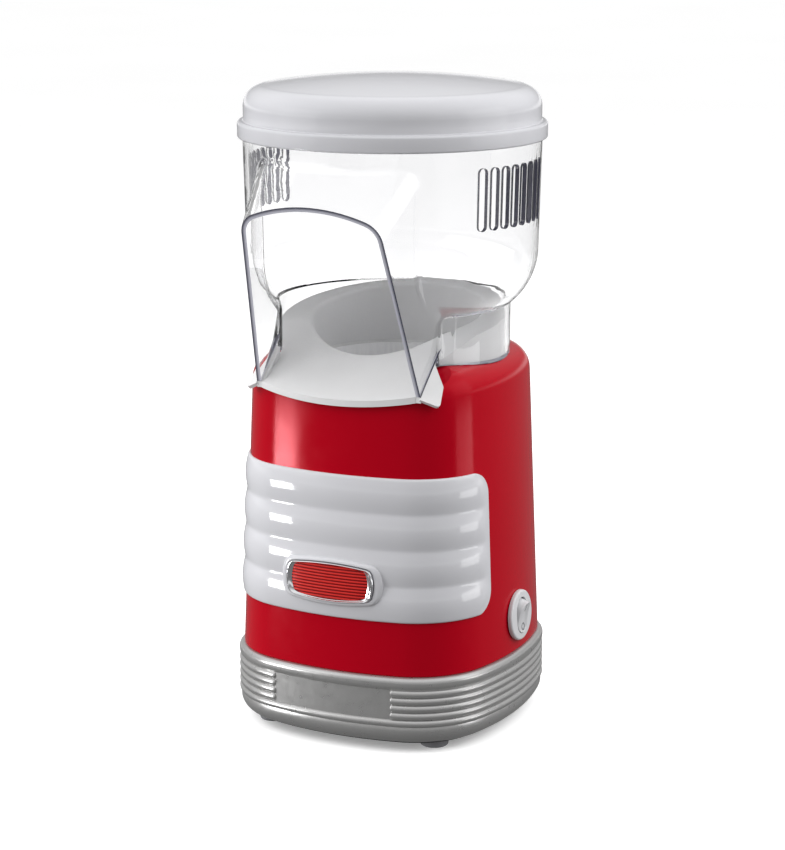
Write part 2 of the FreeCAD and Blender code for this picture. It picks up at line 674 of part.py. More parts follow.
def nose_section(distance, inset):
    """Arched section of the nose in a plane parallel to its mouth, a distance back from it."""
    share = distance / NOSE_LENGTH
    foot = NOSE_FOOT_HALF + share * (NOSE_REAR_FOOT_HALF - NOSE_FOOT_HALF)
    top = NOSE_TOP_HALF + share * (NOSE_REAR_TOP_HALF - NOSE_TOP_HALF)
    low = -NOSE_HEIGHT / 3 if inset else 0.0
    spring = NOSE_HEIGHT - NOSE_CROWN
    slope = (foot - top) / spring
    corner = NOSE_CORNER - inset
    crown_radius = (top ** 2 + NOSE_CROWN ** 2) / (2 * NOSE_CROWN) - inset
    crown_centre = NOSE_HEIGHT - inset - crown_radius
    leg = math.hypot(1.0, slope)
    side = foot - inset * leg
    # The corner's centre lies one corner radius inside both the leg and the crown arc
    reach = crown_radius - corner
    a = 1.0 + slope ** 2
    base = side - corner * leg
    b = -2.0 * (slope * base + crown_centre)
    c = base ** 2 + crown_centre ** 2 - reach ** 2
    centre_s = (-b + math.sqrt(b ** 2 - 4 * a * c)) / (2 * a)
    centre_x = base - slope * centre_s
    leg_x, leg_s = centre_x + corner / leg, centre_s + corner * slope / leg
    away = math.hypot(centre_x, centre_s - crown_centre)
    crown_x = centre_x + corner * centre_x / away
    crown_s = centre_s + corner * (centre_s - crown_centre) / away
    middle = math.hypot(leg_x + crown_x - 2 * centre_x, leg_s + crown_s - 2 * centre_s) / corner
    mid_x = centre_x + (leg_x + crown_x - 2 * centre_x) / middle
    mid_s = centre_s + (leg_s + crown_s - 2 * centre_s) / middle
    border_y, border_z = nose_border(distance)
    lean = math.radians(NOSE_LEAN_DEG)

    def place(x, s):
        return V(x, border_y - s * math.sin(lean), border_z + s * math.cos(lean))

    low_x = side - slope * low
    return Part.Wire(chain(
        place, (low_x, low), (leg_x, leg_s), ((mid_x, mid_s), (crown_x, crown_s)),
        ((0, NOSE_HEIGHT - inset), (-crown_x, crown_s)), ((-mid_x, mid_s), (-leg_x, leg_s)),
        (-low_x, low), (low_x, low)))


def hood_body(inset, low, high):
    """Neck, bowl and tapered cylinder of the hood as one turned body."""
    neck = COLLAR_RADIUS + SLIDE_GAP + HOOD_WALL
    inward = BOWL_RADIUS - neck
    drop = BOWL_TOP_Z - NECK_TOP_Z
    arc = (inward ** 2 + drop ** 2) / (2 * inward)
    centre = BOWL_RADIUS - arc
    radius = arc - inset
    neck_drop = math.sqrt(radius ** 2 - (neck - inset - centre) ** 2)
    half_turn = math.asin(neck_drop / radius) / 2
    middle = (centre + radius * math.cos(half_turn), BOWL_TOP_Z - radius * math.sin(half_turn))
    grow = (HOOD_TOP_RADIUS - BOWL_RADIUS) / (HOOD_TOP_Z - BOWL_TOP_Z)
    top = BOWL_RADIUS - inset + grow * (high - BOWL_TOP_Z)
    return turned(in_xz, (0, low), (neck - inset, low), (neck - inset, BOWL_TOP_Z - neck_drop),
                  (middle, (BOWL_RADIUS - inset, BOWL_TOP_Z)), (top, high), (0, high))


def blended(body, nose, radius, low):
    """Body and nose as one solid, with the crease between them rounded from a level up to the lid."""
    whole = body.fuse(nose)
    skins = (body.Shells[0], nose.Shells[0])
    crease = []
    for edge in whole.Edges:
        spots = [Part.Vertex(point) for point in edge.discretize(5)[1:-1]]
        shared = all(skin.distToShape(spot)[0] < TINY for spot in spots for skin in skins)
        if shared and low < edge.CenterOfMass.z < LID_LOW_Z:
            crease.append(edge)
    return whole.makeFillet(radius, crease)


def hood_shell():
    skirt_low = HOUSING_TOP - SKIRT_DROP
    outer = hood_body(0.0, skirt_low, HOOD_TOP_Z).cut(grown_housing(SEAT_GAP))
    nose = Part.makeLoft([nose_section(0.0, 0.0), nose_section(NOSE_LENGTH, 0.0)], True, True)
    nose = nose.common(rod(FAR, 0.0, HOOD_TOP_Z))
    inner = hood_body(HOOD_WALL, skirt_low - HOOD_WALL, HOOD_TOP_Z + HOOD_WALL)
    tunnel = Part.makeLoft([nose_section(-NOSE_LENGTH / 3, HOOD_WALL),
                            nose_section(NOSE_LENGTH, HOOD_WALL)], True, True)
    shell = blended(outer, nose, NOSE_BLEND, NECK_TOP_Z)
    shell = shell.cut(blended(inner, tunnel, NOSE_BLEND + HOOD_WALL, NECK_TOP_Z))
    half = SLOT_WIDTH / 2
    reach = HOOD_TOP_RADIUS + HOOD_WALL
    start = BOWL_RADIUS - 3 * HOOD_WALL
    straight = SLOT_HEIGHT / 2 - half
    slot = block(start, reach, -half, half, SLOT_Z - straight, SLOT_Z + straight)
    for z in (SLOT_Z - straight, SLOT_Z + straight):
        slot = slot.fuse(Part.makeCylinder(half, reach - start, V(start, 0, z), AXIS_X))
    slots = []
    for index in range(SLOT_COUNT):
        angle = SLOT_FIRST_DEG + SLOT_PITCH_DEG * index
        slots.append(spun(slot, angle - 90.0))
        slots.append(spun(slot, -angle - 90.0))
    return shell.cut(Part.makeCompound(slots))


def crown_middle(radius, top, rise):
    """Middle point of a crown arc that is level on the axis and drops by rise at a radius."""
    sphere = (radius ** 2 + rise ** 2) / (2 * rise)
    half = math.asin(radius / sphere) / 2
    return sphere * math.sin(half), top - sphere * (1 - math.cos(half))


def lid_cap():
    flange_top = LID_LOW_Z + LID_FLANGE
    side_top = flange_top + LID_DOME_SIDE
    crown_z = LID_TOP_Z - LID_CROWN_RISE
    shoulder_r = LID_DOME_RADIUS - LID_SHOULDER
    bend = LID_SHOULDER * (1 - math.sqrt(0.5))
    shoulder_rise = (crown_z - side_top) * (1 - math.sqrt(0.5))
    edge = LID_EDGE_ROUND
    nick = edge * (1 - math.sqrt(0.5))
    outer = turned(
        in_xz, (0, LID_LOW_Z), (LID_RADIUS - edge, LID_LOW_Z),
        ((LID_RADIUS - nick, LID_LOW_Z + nick), (LID_RADIUS, LID_LOW_Z + edge)),
        (LID_RADIUS, flange_top - edge),
        ((LID_RADIUS - nick, flange_top - nick), (LID_RADIUS - edge, flange_top)),
        (LID_DOME_RADIUS, flange_top), (LID_DOME_RADIUS, side_top),
        ((LID_DOME_RADIUS - bend, crown_z - shoulder_rise), (shoulder_r, crown_z)),
        (crown_middle(shoulder_r, LID_TOP_Z, LID_CROWN_RISE), (0, LID_TOP_Z)))
    seat = HOOD_TOP_Z + SEAT_GAP
    hollow_r = LID_DOME_RADIUS - LID_WALL
    inner_crown = crown_z - LID_WALL
    hollow = turned(
        in_xz, (0, LID_LOW_Z), (LID_SKIRT, LID_LOW_Z), (LID_SKIRT, seat), (hollow_r, seat),
        (hollow_r, side_top),
        ((hollow_r - bend, inner_crown - shoulder_rise), (shoulder_r, inner_crown)),
        (crown_middle(shoulder_r, LID_TOP_Z - LID_WALL, LID_CROWN_RISE), (0, LID_TOP_Z - LID_WALL)))
    return outer.cut(hollow)


def popping_chamber():
    outer_r = POT_RADIUS + POT_WALL
    flange_low = POT_RIM - POT_WALL
    bend = POT_ROUND * (1 - math.sqrt(0.5))
    low = POT_FLOOR - POT_WALL
    dome = POT_FLOOR + POT_DOME
    pot = turned(
        in_xz, (0, dome - POT_WALL), (POT_RADIUS - POT_ROUND, low),
        ((outer_r - bend, low + bend), (outer_r, low + POT_ROUND)), (outer_r, flange_low),
        (POT_FLANGE, flange_low), (POT_FLANGE, POT_RIM), (POT_RADIUS, POT_RIM),
        (POT_RADIUS, POT_FLOOR + POT_ROUND),
        ((POT_RADIUS - bend, POT_FLOOR + bend), (POT_RADIUS - POT_ROUND, POT_FLOOR)), (0, dome))
    half = LOUVRE_LENGTH / 2
    thick = LOUVRE_WIDTH / 2
    louvre = block(POT_RADIUS - POT_WALL, outer_r + POT_WALL, -half, half, -thick, thick)
    louvre.rotate(V(0, 0, 0), AXIS_X, LOUVRE_TILT_DEG)
    louvre = louvre.translated(V(0, 0, POT_FLOOR + LOUVRE_RISE))
    louvres = [spun(louvre, 360.0 * index / LOUVRE_COUNT) for index in range(LOUVRE_COUNT)]
    return on_column(pot.cut(Part.makeCompound(louvres)))


def chamber_gasket():
    return on_column(tube(POT_FLANGE - POT_WALL, POT_RADIUS + POT_WALL / 2, POT_RIM, POT_RIM + GASKET_THICK))


def heater_jacket():
    return on_column(tube(POT_FLANGE, JACKET_INNER, DUCT_TOP, POT_RIM - POT_WALL))


def mica_card(slot_low, slot_high):
    """One mica card on its edge: a core that carries the coil and arms that rest on the duct."""
    arm = JACKET_INNER - SEAT_GAP
    half = MICA_THICK / 2
    card = block(-arm, arm, -half, half, DUCT_TOP, DUCT_TOP + MICA_ARM)
    card = card.fuse(block(-MICA_HALF, MICA_HALF, -half, half, DUCT_TOP, MICA_TOP))
    slot = half + RUN_GAP
    return card.cut(block(-slot, slot, -half, half, slot_low, slot_high))


def mica_frame():
    middle = (DUCT_TOP + MICA_TOP) / 2
    first = mica_card(middle, MICA_TOP)
    second = spun(mica_card(DUCT_TOP, middle), 90.0)
    return on_column(Part.makeCompound([first, second]))


def coil_radius():
    return math.hypot(MICA_HALF, MICA_THICK / 2) + SEAT_GAP + COIL_WIRE / 2


def tangent_arc(start, tangent, end):
    """Arc that leaves start along tangent and ends at end."""
    chord = end - start
    along = chord * (1.0 / chord.Length)
    side = tangent - along * tangent.dot(along)
    turn = math.atan2(side.Length, tangent.dot(along))
    middle = start + chord * 0.5 + side.normalize() * (chord.Length / 2 * math.tan(turn / 2))
    return Part.Arc(start, middle, end).toShape()


def least_gap(route):
    """Least distance between points of the coil's route that lie over half a turn apart."""
    spots = route.discretize(COIL_SAMPLES * COIL_TURNS)
    apart = COIL_SAMPLES // 2
    return min(a.distanceToPoint(b) for i, a in enumerate(spots) for b in spots[i + apart:])


def heater_coil():
    """Heating wire wound round the mica cross: a helix of tangent arcs, two to each quarter turn."""
    radius = coil_radius()
    low = DUCT_TOP + MICA_ARM + SEAT_GAP + COIL_WIRE / 2
    points = []
    for quarter in range(4 * COIL_TURNS + 1):
        x, y = polar(radius, 45.0 + 90.0 * quarter)
        spot = V(x, y, low + COIL_PITCH * quarter / 4)
        tangent = V(-y, x, COIL_PITCH / (2 * math.pi)).normalize()
        points.append((spot, tangent))
    edges = []
    for (p0, t0), (p1, t1) in zip(points, points[1:]):
        chord = p1 - p0
        both = t0 + t1
        spread = 2.0 * (1.0 - t0.dot(t1))
        lean = chord.dot(both)
        step = (math.sqrt(lean ** 2 + spread * chord.dot(chord)) - lean) / spread
        joint = (p0 + t0 * step + p1 - t1 * step) * 0.5
        edges.append(tangent_arc(p0, t0, joint))
        back = tangent_arc(p1, t1 * -1.0, joint)
        edges.append(back.reversed())
    route = Part.Wire(Part.__sortEdges__(edges))
    start, heading = points[0]
    section = Part.Wire(Part.makeCircle(COIL_WIRE / 2, start, heading))
    print("least gap between turns of the coil", round(least_gap(route) - COIL_WIRE, 2))
    return on_column(route.makePipeShell([section], True, False))


def fan_duct():
    body = tube(POT_FLANGE, DUCT_INNER, DUCT_FLOOR_TOP, DUCT_TOP)
    floor = rod(POT_FLANGE, DUCT_LOW, DUCT_FLOOR_TOP)
    legs = [rod(LEG_RADIUS, PLATE_TOP, DUCT_LOW, x, y) for x, y in leg_places()]
    body = body.multiFuse([floor] + legs)
    cuts = [rod(BUSH_RADIUS + SLIDE_GAP, DUCT_LOW, DUCT_FLOOR_TOP)]
    window_reach = (MOTOR_RADIUS + DUCT_INNER) / 2
    for index in range(DUCT_WINDOWS):
        x, y = polar(window_reach, 360.0 * (index + 0.5) / DUCT_WINDOWS)
        cuts.append(rod(DUCT_WINDOW_RADIUS, DUCT_LOW, DUCT_FLOOR_TOP, x, y))
    for x, y in leg_places():
        cuts.append(rod(SCREW_SHANK + PRESS_GAP, PLATE_TOP, PLATE_TOP + SCREW_REACH + PILLAR_HEIGHT, x, y))
    for x, y in motor_screw_places():
        cuts.append(rod(SCREW_SHANK + RUN_GAP, DUCT_LOW, DUCT_FLOOR_TOP, x, y))
    return on_column(body.cut(Part.makeCompound(cuts)))


def duct_screws():
    screws = [screw(x, y, FOOT_HEIGHT - SCREW_HEAD_HEIGHT) for x, y in leg_places()]
    return on_column(Part.makeCompound(screws))


def motor_screw_places():
    reach = (BUSH_RADIUS + MOTOR_RADIUS) / 2
    return [(-reach, 0.0), (reach, 0.0)]


def motor_screws():
    """Short screws that hold the motor's face to the underside of the duct floor."""
    solids = []
    for x, y in motor_screw_places():
        head = rod(SCREW_HEAD, DUCT_FLOOR_TOP, DUCT_FLOOR_TOP + SCREW_HEAD_HEIGHT, x, y)
        solids.append(head.fuse(rod(SCREW_SHANK, DUCT_LOW - MOTOR_WALL, DUCT_FLOOR_TOP, x, y)))
    return on_column(Part.makeCompound(solids))


def motor_can():
    can = rod(MOTOR_RADIUS, MOTOR_LOW, DUCT_LOW)
    cuts = [rod(MOTOR_RADIUS - MOTOR_WALL, MOTOR_LOW, DUCT_LOW - MOTOR_WALL),
            rod(BUSH_RADIUS + PRESS_GAP, DUCT_LOW - MOTOR_WALL, DUCT_LOW)]
    for x, y in motor_screw_places():
        cuts.append(rod(SCREW_SHANK + PRESS_GAP, DUCT_LOW - MOTOR_WALL, DUCT_LOW, x, y))
    return on_column(can.cut(Part.makeCompound(cuts)))


def motor_endcap():
    cap = rod(MOTOR_RADIUS, ENDCAP_LOW, MOTOR_LOW)
    cap = cap.fuse(rod(MOTOR_RADIUS - MOTOR_WALL - RUN_GAP, MOTOR_LOW, MOTOR_LOW + MOTOR_WALL))
    return on_column(cap.cut(rod(BUSH_RADIUS + PRESS_GAP, ENDCAP_LOW, MOTOR_LOW + MOTOR_WALL)))


def motor_bushes():
    bores = []
    for low in (ENDCAP_LOW, DUCT_LOW - MOTOR_WALL):
        bores.append(tube(BUSH_RADIUS, SHAFT_RADIUS + RUN_GAP, low, low + BUSH_LENGTH))
    return on_column(Part.makeCompound(bores))


def armature_low():
    return (MOTOR_LOW + MOTOR_WALL + DUCT_LOW - MOTOR_WALL - ARMATURE_LENGTH) / 2


def motor_magnets():
    outer = MOTOR_RADIUS - MOTOR_WALL - PRESS_GAP
    low = armature_low()
    arc = tube(outer, outer - MAGNET_THICK, low, low + ARMATURE_LENGTH)
    wedge = Part.makeCylinder(MOTOR_RADIUS, ARMATURE_LENGTH, V(0, 0, low), AXIS_Z, MAGNET_SPAN_DEG)
    magnet = arc.common(wedge)
    return on_column(Part.makeCompound([magnet, spun(magnet, 180.0)]))


def motor_armature():
    low = armature_low()
    stack = rod(ARMATURE_RADIUS, low, low + ARMATURE_LENGTH)
    slot = block(SHAFT_RADIUS + FAN_HUB / 2, MOTOR_RADIUS, -FAN_DISC, FAN_DISC, low, low + ARMATURE_LENGTH)
    slots = [spun(slot, 360.0 * index / ARMATURE_SLOTS) for index in range(ARMATURE_SLOTS)]
    bore = rod(SHAFT_RADIUS + PRESS_GAP, low, low + ARMATURE_LENGTH)
    return on_column(stack.cut(Part.makeCompound(slots + [bore])))


def motor_shaft():
    return on_column(rod(SHAFT_RADIUS, ENDCAP_LOW, FAN_TOP - FAN_DISC))


def fan_impeller():
    """Hub on the shaft, a back disc below it and backward-leaning arc blades standing on the disc."""
    disc = rod(FAN_RADIUS, FAN_LOW, FAN_LOW + FAN_DISC)
    hub = rod(FAN_HUB, FAN_LOW, FAN_TOP)
    start = V(*polar(FAN_HUB - FAN_BLADE_THICK, 0.0), FAN_LOW)
    middle = V(*polar(FAN_RADIUS / 2, -FAN_SWEEP_DEG / 3), FAN_LOW)
    end = V(*polar(FAN_RADIUS, -FAN_SWEEP_DEG), FAN_LOW)
    bow = Part.Arc(start, middle, end).toShape().Curve
    arcs = []
    for side in (FAN_BLADE_THICK / 2, -FAN_BLADE_THICK / 2):
        spots = [p + (p - bow.Center).normalize() * side for p in (start, middle, end)]
        arcs.append(spots)
    outer, inner = arcs
    edges = [Part.Arc(*outer).toShape(), Part.LineSegment(outer[2], inner[2]).toShape(),
             Part.Arc(*reversed(inner)).toShape(), Part.LineSegment(inner[0], outer[0]).toShape()]
    blade = Part.Face(Part.Wire(edges)).extrude(V(0, 0, FAN_HEIGHT))
    blades = [spun(blade, 360.0 * index / FAN_BLADES) for index in range(FAN_BLADES)]
    wheel = hub.multiFuse([disc] + blades).common(rod(FAN_RADIUS, FAN_LOW, FAN_TOP))
    return on_column(wheel.cut(rod(SHAFT_RADIUS + PRESS_GAP, FAN_LOW, FAN_TOP - FAN_DISC)))


def board_top():
    return ENDCAP_LOW - BOARD_DROP


def motor_tabs():
    """Two motor terminals that come out of the end cap and carry the rectifier board."""
    half = TAB_WIDTH / 2
    low = board_top() - 2 * BOARD_THICK
    solids = []
    for side in (-1, 1):
        x = side * tab_reach()
        solids.append(block(x - TAB_THICK / 2, x + TAB_THICK / 2, -half, half, low, ENDCAP_LOW))
    return on_column(Part.makeCompound(solids))


def tab_reach():
    return (BUSH_RADIUS + BOARD_RADIUS) / 2


def rectifier_board():
    top = board_top()
    board = tube(BOARD_RADIUS, BUSH_RADIUS + SLIDE_GAP, top - BOARD_THICK, top)
    half = TAB_WIDTH / 2 + RUN_GAP
    thick = TAB_THICK / 2 + RUN_GAP
    for side in (-1, 1):
        x = side * tab_reach()
        board = board.cut(block(x - thick, x + thick, -half, half, top - BOARD_THICK, top))
    return on_column(board)


def diodes():
    """Four bridge diodes lying on the underside of the board."""
    z = board_top() - BOARD_THICK - DIODE_RADIUS
    solids = []
    for index in range(4):
        x, y = polar(tab_reach(), 45.0 + 90.0 * index)
        solids.append(Part.makeCylinder(DIODE_RADIUS, DIODE_LENGTH, V(x - DIODE_LENGTH / 2, y, z), AXIS_X))
    return on_column(Part.makeCompound(solids))


def jacket_level():
    return DUCT_TOP + THERMOSTAT_RISE


def thermostat():
    """Disc thermostat on a saddle bent to the jacket, with two terminals."""
    z = jacket_level()
    low = POT_FLANGE + SEAT_GAP
    saddle = THERMOSTAT_RADIUS + TAB_WIDTH
    top = low + THERMOSTAT_HEIGHT
    strap = block(0.0, low + TAB_THICK, -saddle, saddle, z - TAB_WIDTH, z + TAB_WIDTH)
    strap = strap.common(tube(low + TAB_THICK, low, z - TAB_WIDTH, z + TAB_WIDTH))
    disc = Part.makeCylinder(THERMOSTAT_RADIUS, top, V(0, 0, z), AXIS_X)
    disc = disc.cut(rod(low, z - saddle, z + saddle))
    half = TAB_WIDTH / 2
    body = strap.fuse(disc)
    for side in (-1, 1):
        y = side * half
        body = body.fuse(block(top - TAB_THICK, top + TAB_WIDTH, y - TAB_THICK, y + TAB_THICK,
                               z - half, z + half))
    return on_column(spun(body, 180.0))


def thermal_fuse():
    """Axial fuse held against the jacket by a bent clip."""
    z = jacket_level()
    reach = POT_FLANGE + SEAT_GAP + TAB_THICK + FUSE_RADIUS
    fuse = rod(FUSE_RADIUS, z - FUSE_LENGTH / 2, z + FUSE_LENGTH / 2, reach)
    clip_half = FUSE_LENGTH / 4
    low = POT_FLANGE + SEAT_GAP
    clip = tube(low + TAB_THICK, low, z - clip_half, z + clip_half)
    clip = clip.common(block(0.0, FAR, -3 * FUSE_RADIUS, 3 * FUSE_RADIUS, z - clip_half, z + clip_half))
    hoop = Part.makeCylinder(FUSE_RADIUS + TAB_THICK, 2 * clip_half, V(reach, 0, z - clip_half))
    body = clip.fuse(hoop).fuse(fuse)
    body = body.cut(rod(low, z - FUSE_LENGTH, z + FUSE_LENGTH))
    return on_column(spun(body, FUSE_TURN_DEG))


def pocket(half, length, low, high):
    """Round-ended pocket of the switch, seen along +X, between two depths."""
    straight = length / 2 - half
    body = block(low, high, -half, half, -straight, straight)
    for z in (-straight, straight):
        body = body.fuse(Part.makeCylinder(half, high - low, V(low, 0, z), AXIS_X))
    return body


def switch_body():
    """Round bezel and barrel of the rocker switch with its pocket and pivot holes."""
    rim = Part.makeCylinder(SWITCH_BEZEL, SWITCH_BEZEL_THICK, V(SEAT_GAP, 0, 0), AXIS_X)
    front = SEAT_GAP + SWITCH_BEZEL_THICK
    edge = [e for e in rim.Edges if abs(e.CenterOfMass.x - front) < TINY and e.Closed]
    rim = rim.makeFillet(SWITCH_BEZEL_THICK / 2, edge)
    stem = Part.makeCylinder(SWITCH_BARREL, SWITCH_DEPTH + SEAT_GAP, V(-SWITCH_DEPTH, 0, 0), AXIS_X)
    body = rim.fuse(stem)
    body = body.cut(pocket(SWITCH_POCKET_HALF, SWITCH_POCKET_LENGTH, -SWITCH_POCKET_DEPTH, front))
    pin = ROCKER_PIN + RUN_GAP
    reach = SWITCH_POCKET_HALF + ROCKER_PIN_LENGTH + RUN_GAP
    body = body.cut(Part.makeCylinder(pin, 2 * reach, V(-ROCKER_PIVOT_DEPTH, -reach, 0), AXIS_Y))
    return switch_frame(body)


def switch_rocker():
    """Dished rocker on two side pins, resting with its lower end pressed in."""
    side = SWITCH_POCKET_HALF - SLIDE_GAP
    half = SWITCH_POCKET_LENGTH / 2 - 3 * SLIDE_GAP
    pivot = -ROCKER_PIVOT_DEPTH
    low = ROCKER_PIVOT_DEPTH + ROCKER_PIN + ROCKER_DISH
    edges = chain(in_xz, (ROCKER_REACH, -half), ((ROCKER_REACH - ROCKER_DISH, 0), (ROCKER_REACH, half)),
                  (-low, half / 2), (-low, -half / 2), (ROCKER_REACH, -half))
    body = Part.Face(Part.Wire(edges)).extrude(V(0, 2 * side, 0)).translated(V(0, -side, 0))
    body = body.common(pocket(side, 2 * half, -SWITCH_DEPTH, SWITCH_DEPTH))
    pins = SWITCH_POCKET_HALF + ROCKER_PIN_LENGTH
    body = body.fuse(Part.makeCylinder(ROCKER_PIN, 2 * pins, V(pivot, -pins, 0), AXIS_Y))
    body.rotate(V(pivot, 0, 0), AXIS_Y, ROCKER_TILT_DEG)
    return switch_frame(body)


def switch_tabs():
    """Three blade terminals at the back of the switch."""
    half = TAB_WIDTH / 2
    back = -SWITCH_DEPTH
    solids = []
    for z in (-SWITCH_BARREL / 2, 0.0, SWITCH_BARREL / 2):
        tab = block(back - TAB_LENGTH, back, -half, half, z - TAB_THICK / 2, z + TAB_THICK / 2)
        solids.append(switch_frame(tab))
    return Part.makeCompound(solids)


def cord_gland():
    """Bored bush through the rear of the base ring, with an outer flange and an inner nut."""
    face = HALF_WIDTH + BASE_PROUD + BEAD_BULGE + PRESS_GAP
    inside = HALF_WIDTH + BASE_WALL_INNER - PRESS_GAP - 2 * GLAND_FLANGE_THICK
    stem = Part.makeCylinder(GLAND_RADIUS, face - inside, V(0, inside, GLAND_Z), AXIS_Y)
    flange = Part.makeCylinder(GLAND_FLANGE, GLAND_FLANGE_THICK, V(0, face, GLAND_Z), AXIS_Y)
    edge = [e for e in flange.Edges if e.Closed and e.CenterOfMass.y > face + GLAND_FLANGE_THICK - TINY]
    flange = flange.makeFillet(GLAND_FLANGE_THICK / 2, edge)
    nut = Part.makeCylinder(GLAND_FLANGE, GLAND_FLANGE_THICK, V(0, inside, GLAND_Z), AXIS_Y)
    body = stem.multiFuse([flange, nut])
    return body.cut(Part.makeCylinder(GLAND_BORE, FAR, V(0, 0, GLAND_Z), AXIS_Y))


def terminal_block():
    """Mains terminal block on the bottom plate, in front of the gland."""
    y = HALF_WIDTH + BASE_WALL_INNER - 4 * GLAND_FLANGE_THICK - BLOCK_DEPTH
    half = BLOCK_WIDTH / 2
    body = block(-half, half, y, y + BLOCK_DEPTH, PLATE_TOP, PLATE_TOP + BLOCK_HEIGHT)
    pitch = BLOCK_WIDTH / BLOCK_WAYS
    for way in range(BLOCK_WAYS):
        x = -half + pitch * (way + 0.5)
        body = body.cut(rod(SCREW_SHANK, PLATE_TOP + BLOCK_HEIGHT / 2, FAR, x, y + BLOCK_DEPTH / 2))
        mouth = Part.makeCylinder(SCREW_SHANK, BLOCK_DEPTH, V(x, y, PLATE_TOP + BLOCK_HEIGHT / 2), AXIS_Y)
        body = body.cut(mouth)
    return body


def export(make):
    """Write one piece, moved so that the origin lies under the middle of the overall footprint."""
    nose_front = LIP_SIDE_Y - NOSE_HEIGHT * math.sin(math.radians(NOSE_LEAN_DEG))
    shape = make().translated(V(0, -(LID_RADIUS + nose_front) / 2, 0))
    shape.exportStep(os.path.join("parts", make.__name__ + ".step"))
    print(make.__name__, len(shape.Solids), shape.isValid(), round(shape.Volume, 1))


os.makedirs("parts", exist_ok=True)
for piece in (feet, base_screws, bottom_plate, base_ring, cord_gland, terminal_block,
              housing_shell, front_band, badge_bezel, badge_plate, switch_body, switch_tabs, switch_rocker,
              fan_duct, duct_screws, motor_can, motor_endcap, motor_bushes, motor_magnets, motor_screws,
              motor_tabs, rectifier_board, diodes, motor_shaft, motor_armature, fan_impeller,
              heater_jacket, mica_frame, heater_coil, thermostat, thermal_fuse, popping_chamber,
              chamber_gasket, chute_deck, hood_shell, lid_cap):
    export(piece)
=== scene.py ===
import math

import bmesh
import bpy
import numpy as np
from mathutils import Matrix, Vector


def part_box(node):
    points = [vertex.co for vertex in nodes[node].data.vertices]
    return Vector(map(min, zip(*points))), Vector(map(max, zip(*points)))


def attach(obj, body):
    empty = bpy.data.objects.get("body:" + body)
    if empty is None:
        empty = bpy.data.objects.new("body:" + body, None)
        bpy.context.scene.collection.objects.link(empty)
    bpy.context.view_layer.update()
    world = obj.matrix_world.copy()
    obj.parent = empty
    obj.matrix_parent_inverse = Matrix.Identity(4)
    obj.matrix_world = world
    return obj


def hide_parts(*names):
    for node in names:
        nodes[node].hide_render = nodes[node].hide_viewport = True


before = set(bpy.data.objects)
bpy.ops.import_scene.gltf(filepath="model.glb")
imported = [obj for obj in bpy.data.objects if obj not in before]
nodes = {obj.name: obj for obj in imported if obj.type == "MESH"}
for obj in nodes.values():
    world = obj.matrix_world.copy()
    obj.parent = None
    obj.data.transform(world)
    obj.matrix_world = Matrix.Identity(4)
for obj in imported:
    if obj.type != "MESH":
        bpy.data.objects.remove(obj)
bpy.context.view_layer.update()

# Rubber feet: four grey rings under the corners of the base, moulded with a rounded tread edge
# and a bore that gives the screwdriver a way to the base screws.
lid_low, lid_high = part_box("lid_cap")
axis_y = (lid_low.y + lid_high.y) / 2
MM = 0.001


def start_material(name):
    """New material: its node tree, its shader and the piece's own coordinates."""
    material = bpy.data.materials.new(name)
    material.use_nodes = True
    tree = material.node_tree
    coords = tree.nodes.new("ShaderNodeTexCoord").outputs["Object"]
    return material, tree, tree.nodes["Principled BSDF"], coords


def fill(node, inputs):
    """Each named input of a node takes a value or the output of another node."""
    for label, value in inputs.items():
        if isinstance(value, bpy.types.NodeSocket):
            node.id_data.links.new(value, node.inputs[label])
        else:
            node.inputs[label].default_value = value
    return node


def add_node(tree, kind, inputs):
    """New node in a tree with its inputs filled."""
    return fill(tree.nodes.new(kind), inputs)


def noise(tree, coords, scale, detail=3.0):
    """Even noise over the piece."""
    return add_node(tree, "ShaderNodeTexNoise", {"Vector": coords, "Scale": scale, "Detail": detail}).outputs["Fac"]


def spread(tree, value, low, high, first=0.3, last=0.7):
    """A value that runs from low to high where another runs from first to last."""
    inputs = {"Value": value, "From Min": first, "From Max": last, "To Min": low, "To Max": high}
    return add_node(tree, "ShaderNodeMapRange", inputs).outputs["Result"]


def blend_colours(tree, factor, first, second):
    """Colour that runs from a first to a second by a factor."""
    node = tree.nodes.new("ShaderNodeMix")
    node.data_type = "RGBA"
    return fill(node, {"Factor": factor, "A": (*first, 1.0), "B": (*second, 1.0)}).outputs["Result"]


def coat(tree, shader, colour, rough, height, depth):
    """Colour, roughness and relief of a shader; the relief runs over a depth in metres."""
    bump = add_node(tree, "ShaderNodeBump", {"Height": height, "Strength": 1.0, "Distance": depth})
    fill(shader, {"Base Color": colour, "Roughness": rough, "Normal": bump.outputs["Normal"]})


def moulded(name, colour, shade, polish, grain, depth, flow=30.0):
    """Moulded plastic or rubber: faint flow marks, uneven polish and a fine grain in the surface."""
    material, tree, shader, coords = start_material(name)
    marks = spread(tree, noise(tree, coords, flow), 0.0, 1.0)
    rough = spread(tree, noise(tree, coords, 140.0), *polish)
    coat(tree, shader, blend_colours(tree, marks, shade, colour), rough, noise(tree, coords, grain), depth)
    return material


def put(x, y, z):
    """Place of a point given in millimetres about the body's upright axis."""
    return (x * MM, y * MM + axis_y, z * MM)


def on_level(outline, z=0.0):
    """Points of an (x, y) outline at one height, all in millimetres."""
    return [put(x, y, z) for x, y in outline]


def object_of(name, points, edges, faces):
    """Object in the scene with a new mesh."""
    mesh = bpy.data.meshes.new(name)
    mesh.from_pydata(points, edges, faces)
    made = bpy.data.objects.new(name, mesh)
    bpy.context.scene.collection.objects.link(made)
    return made


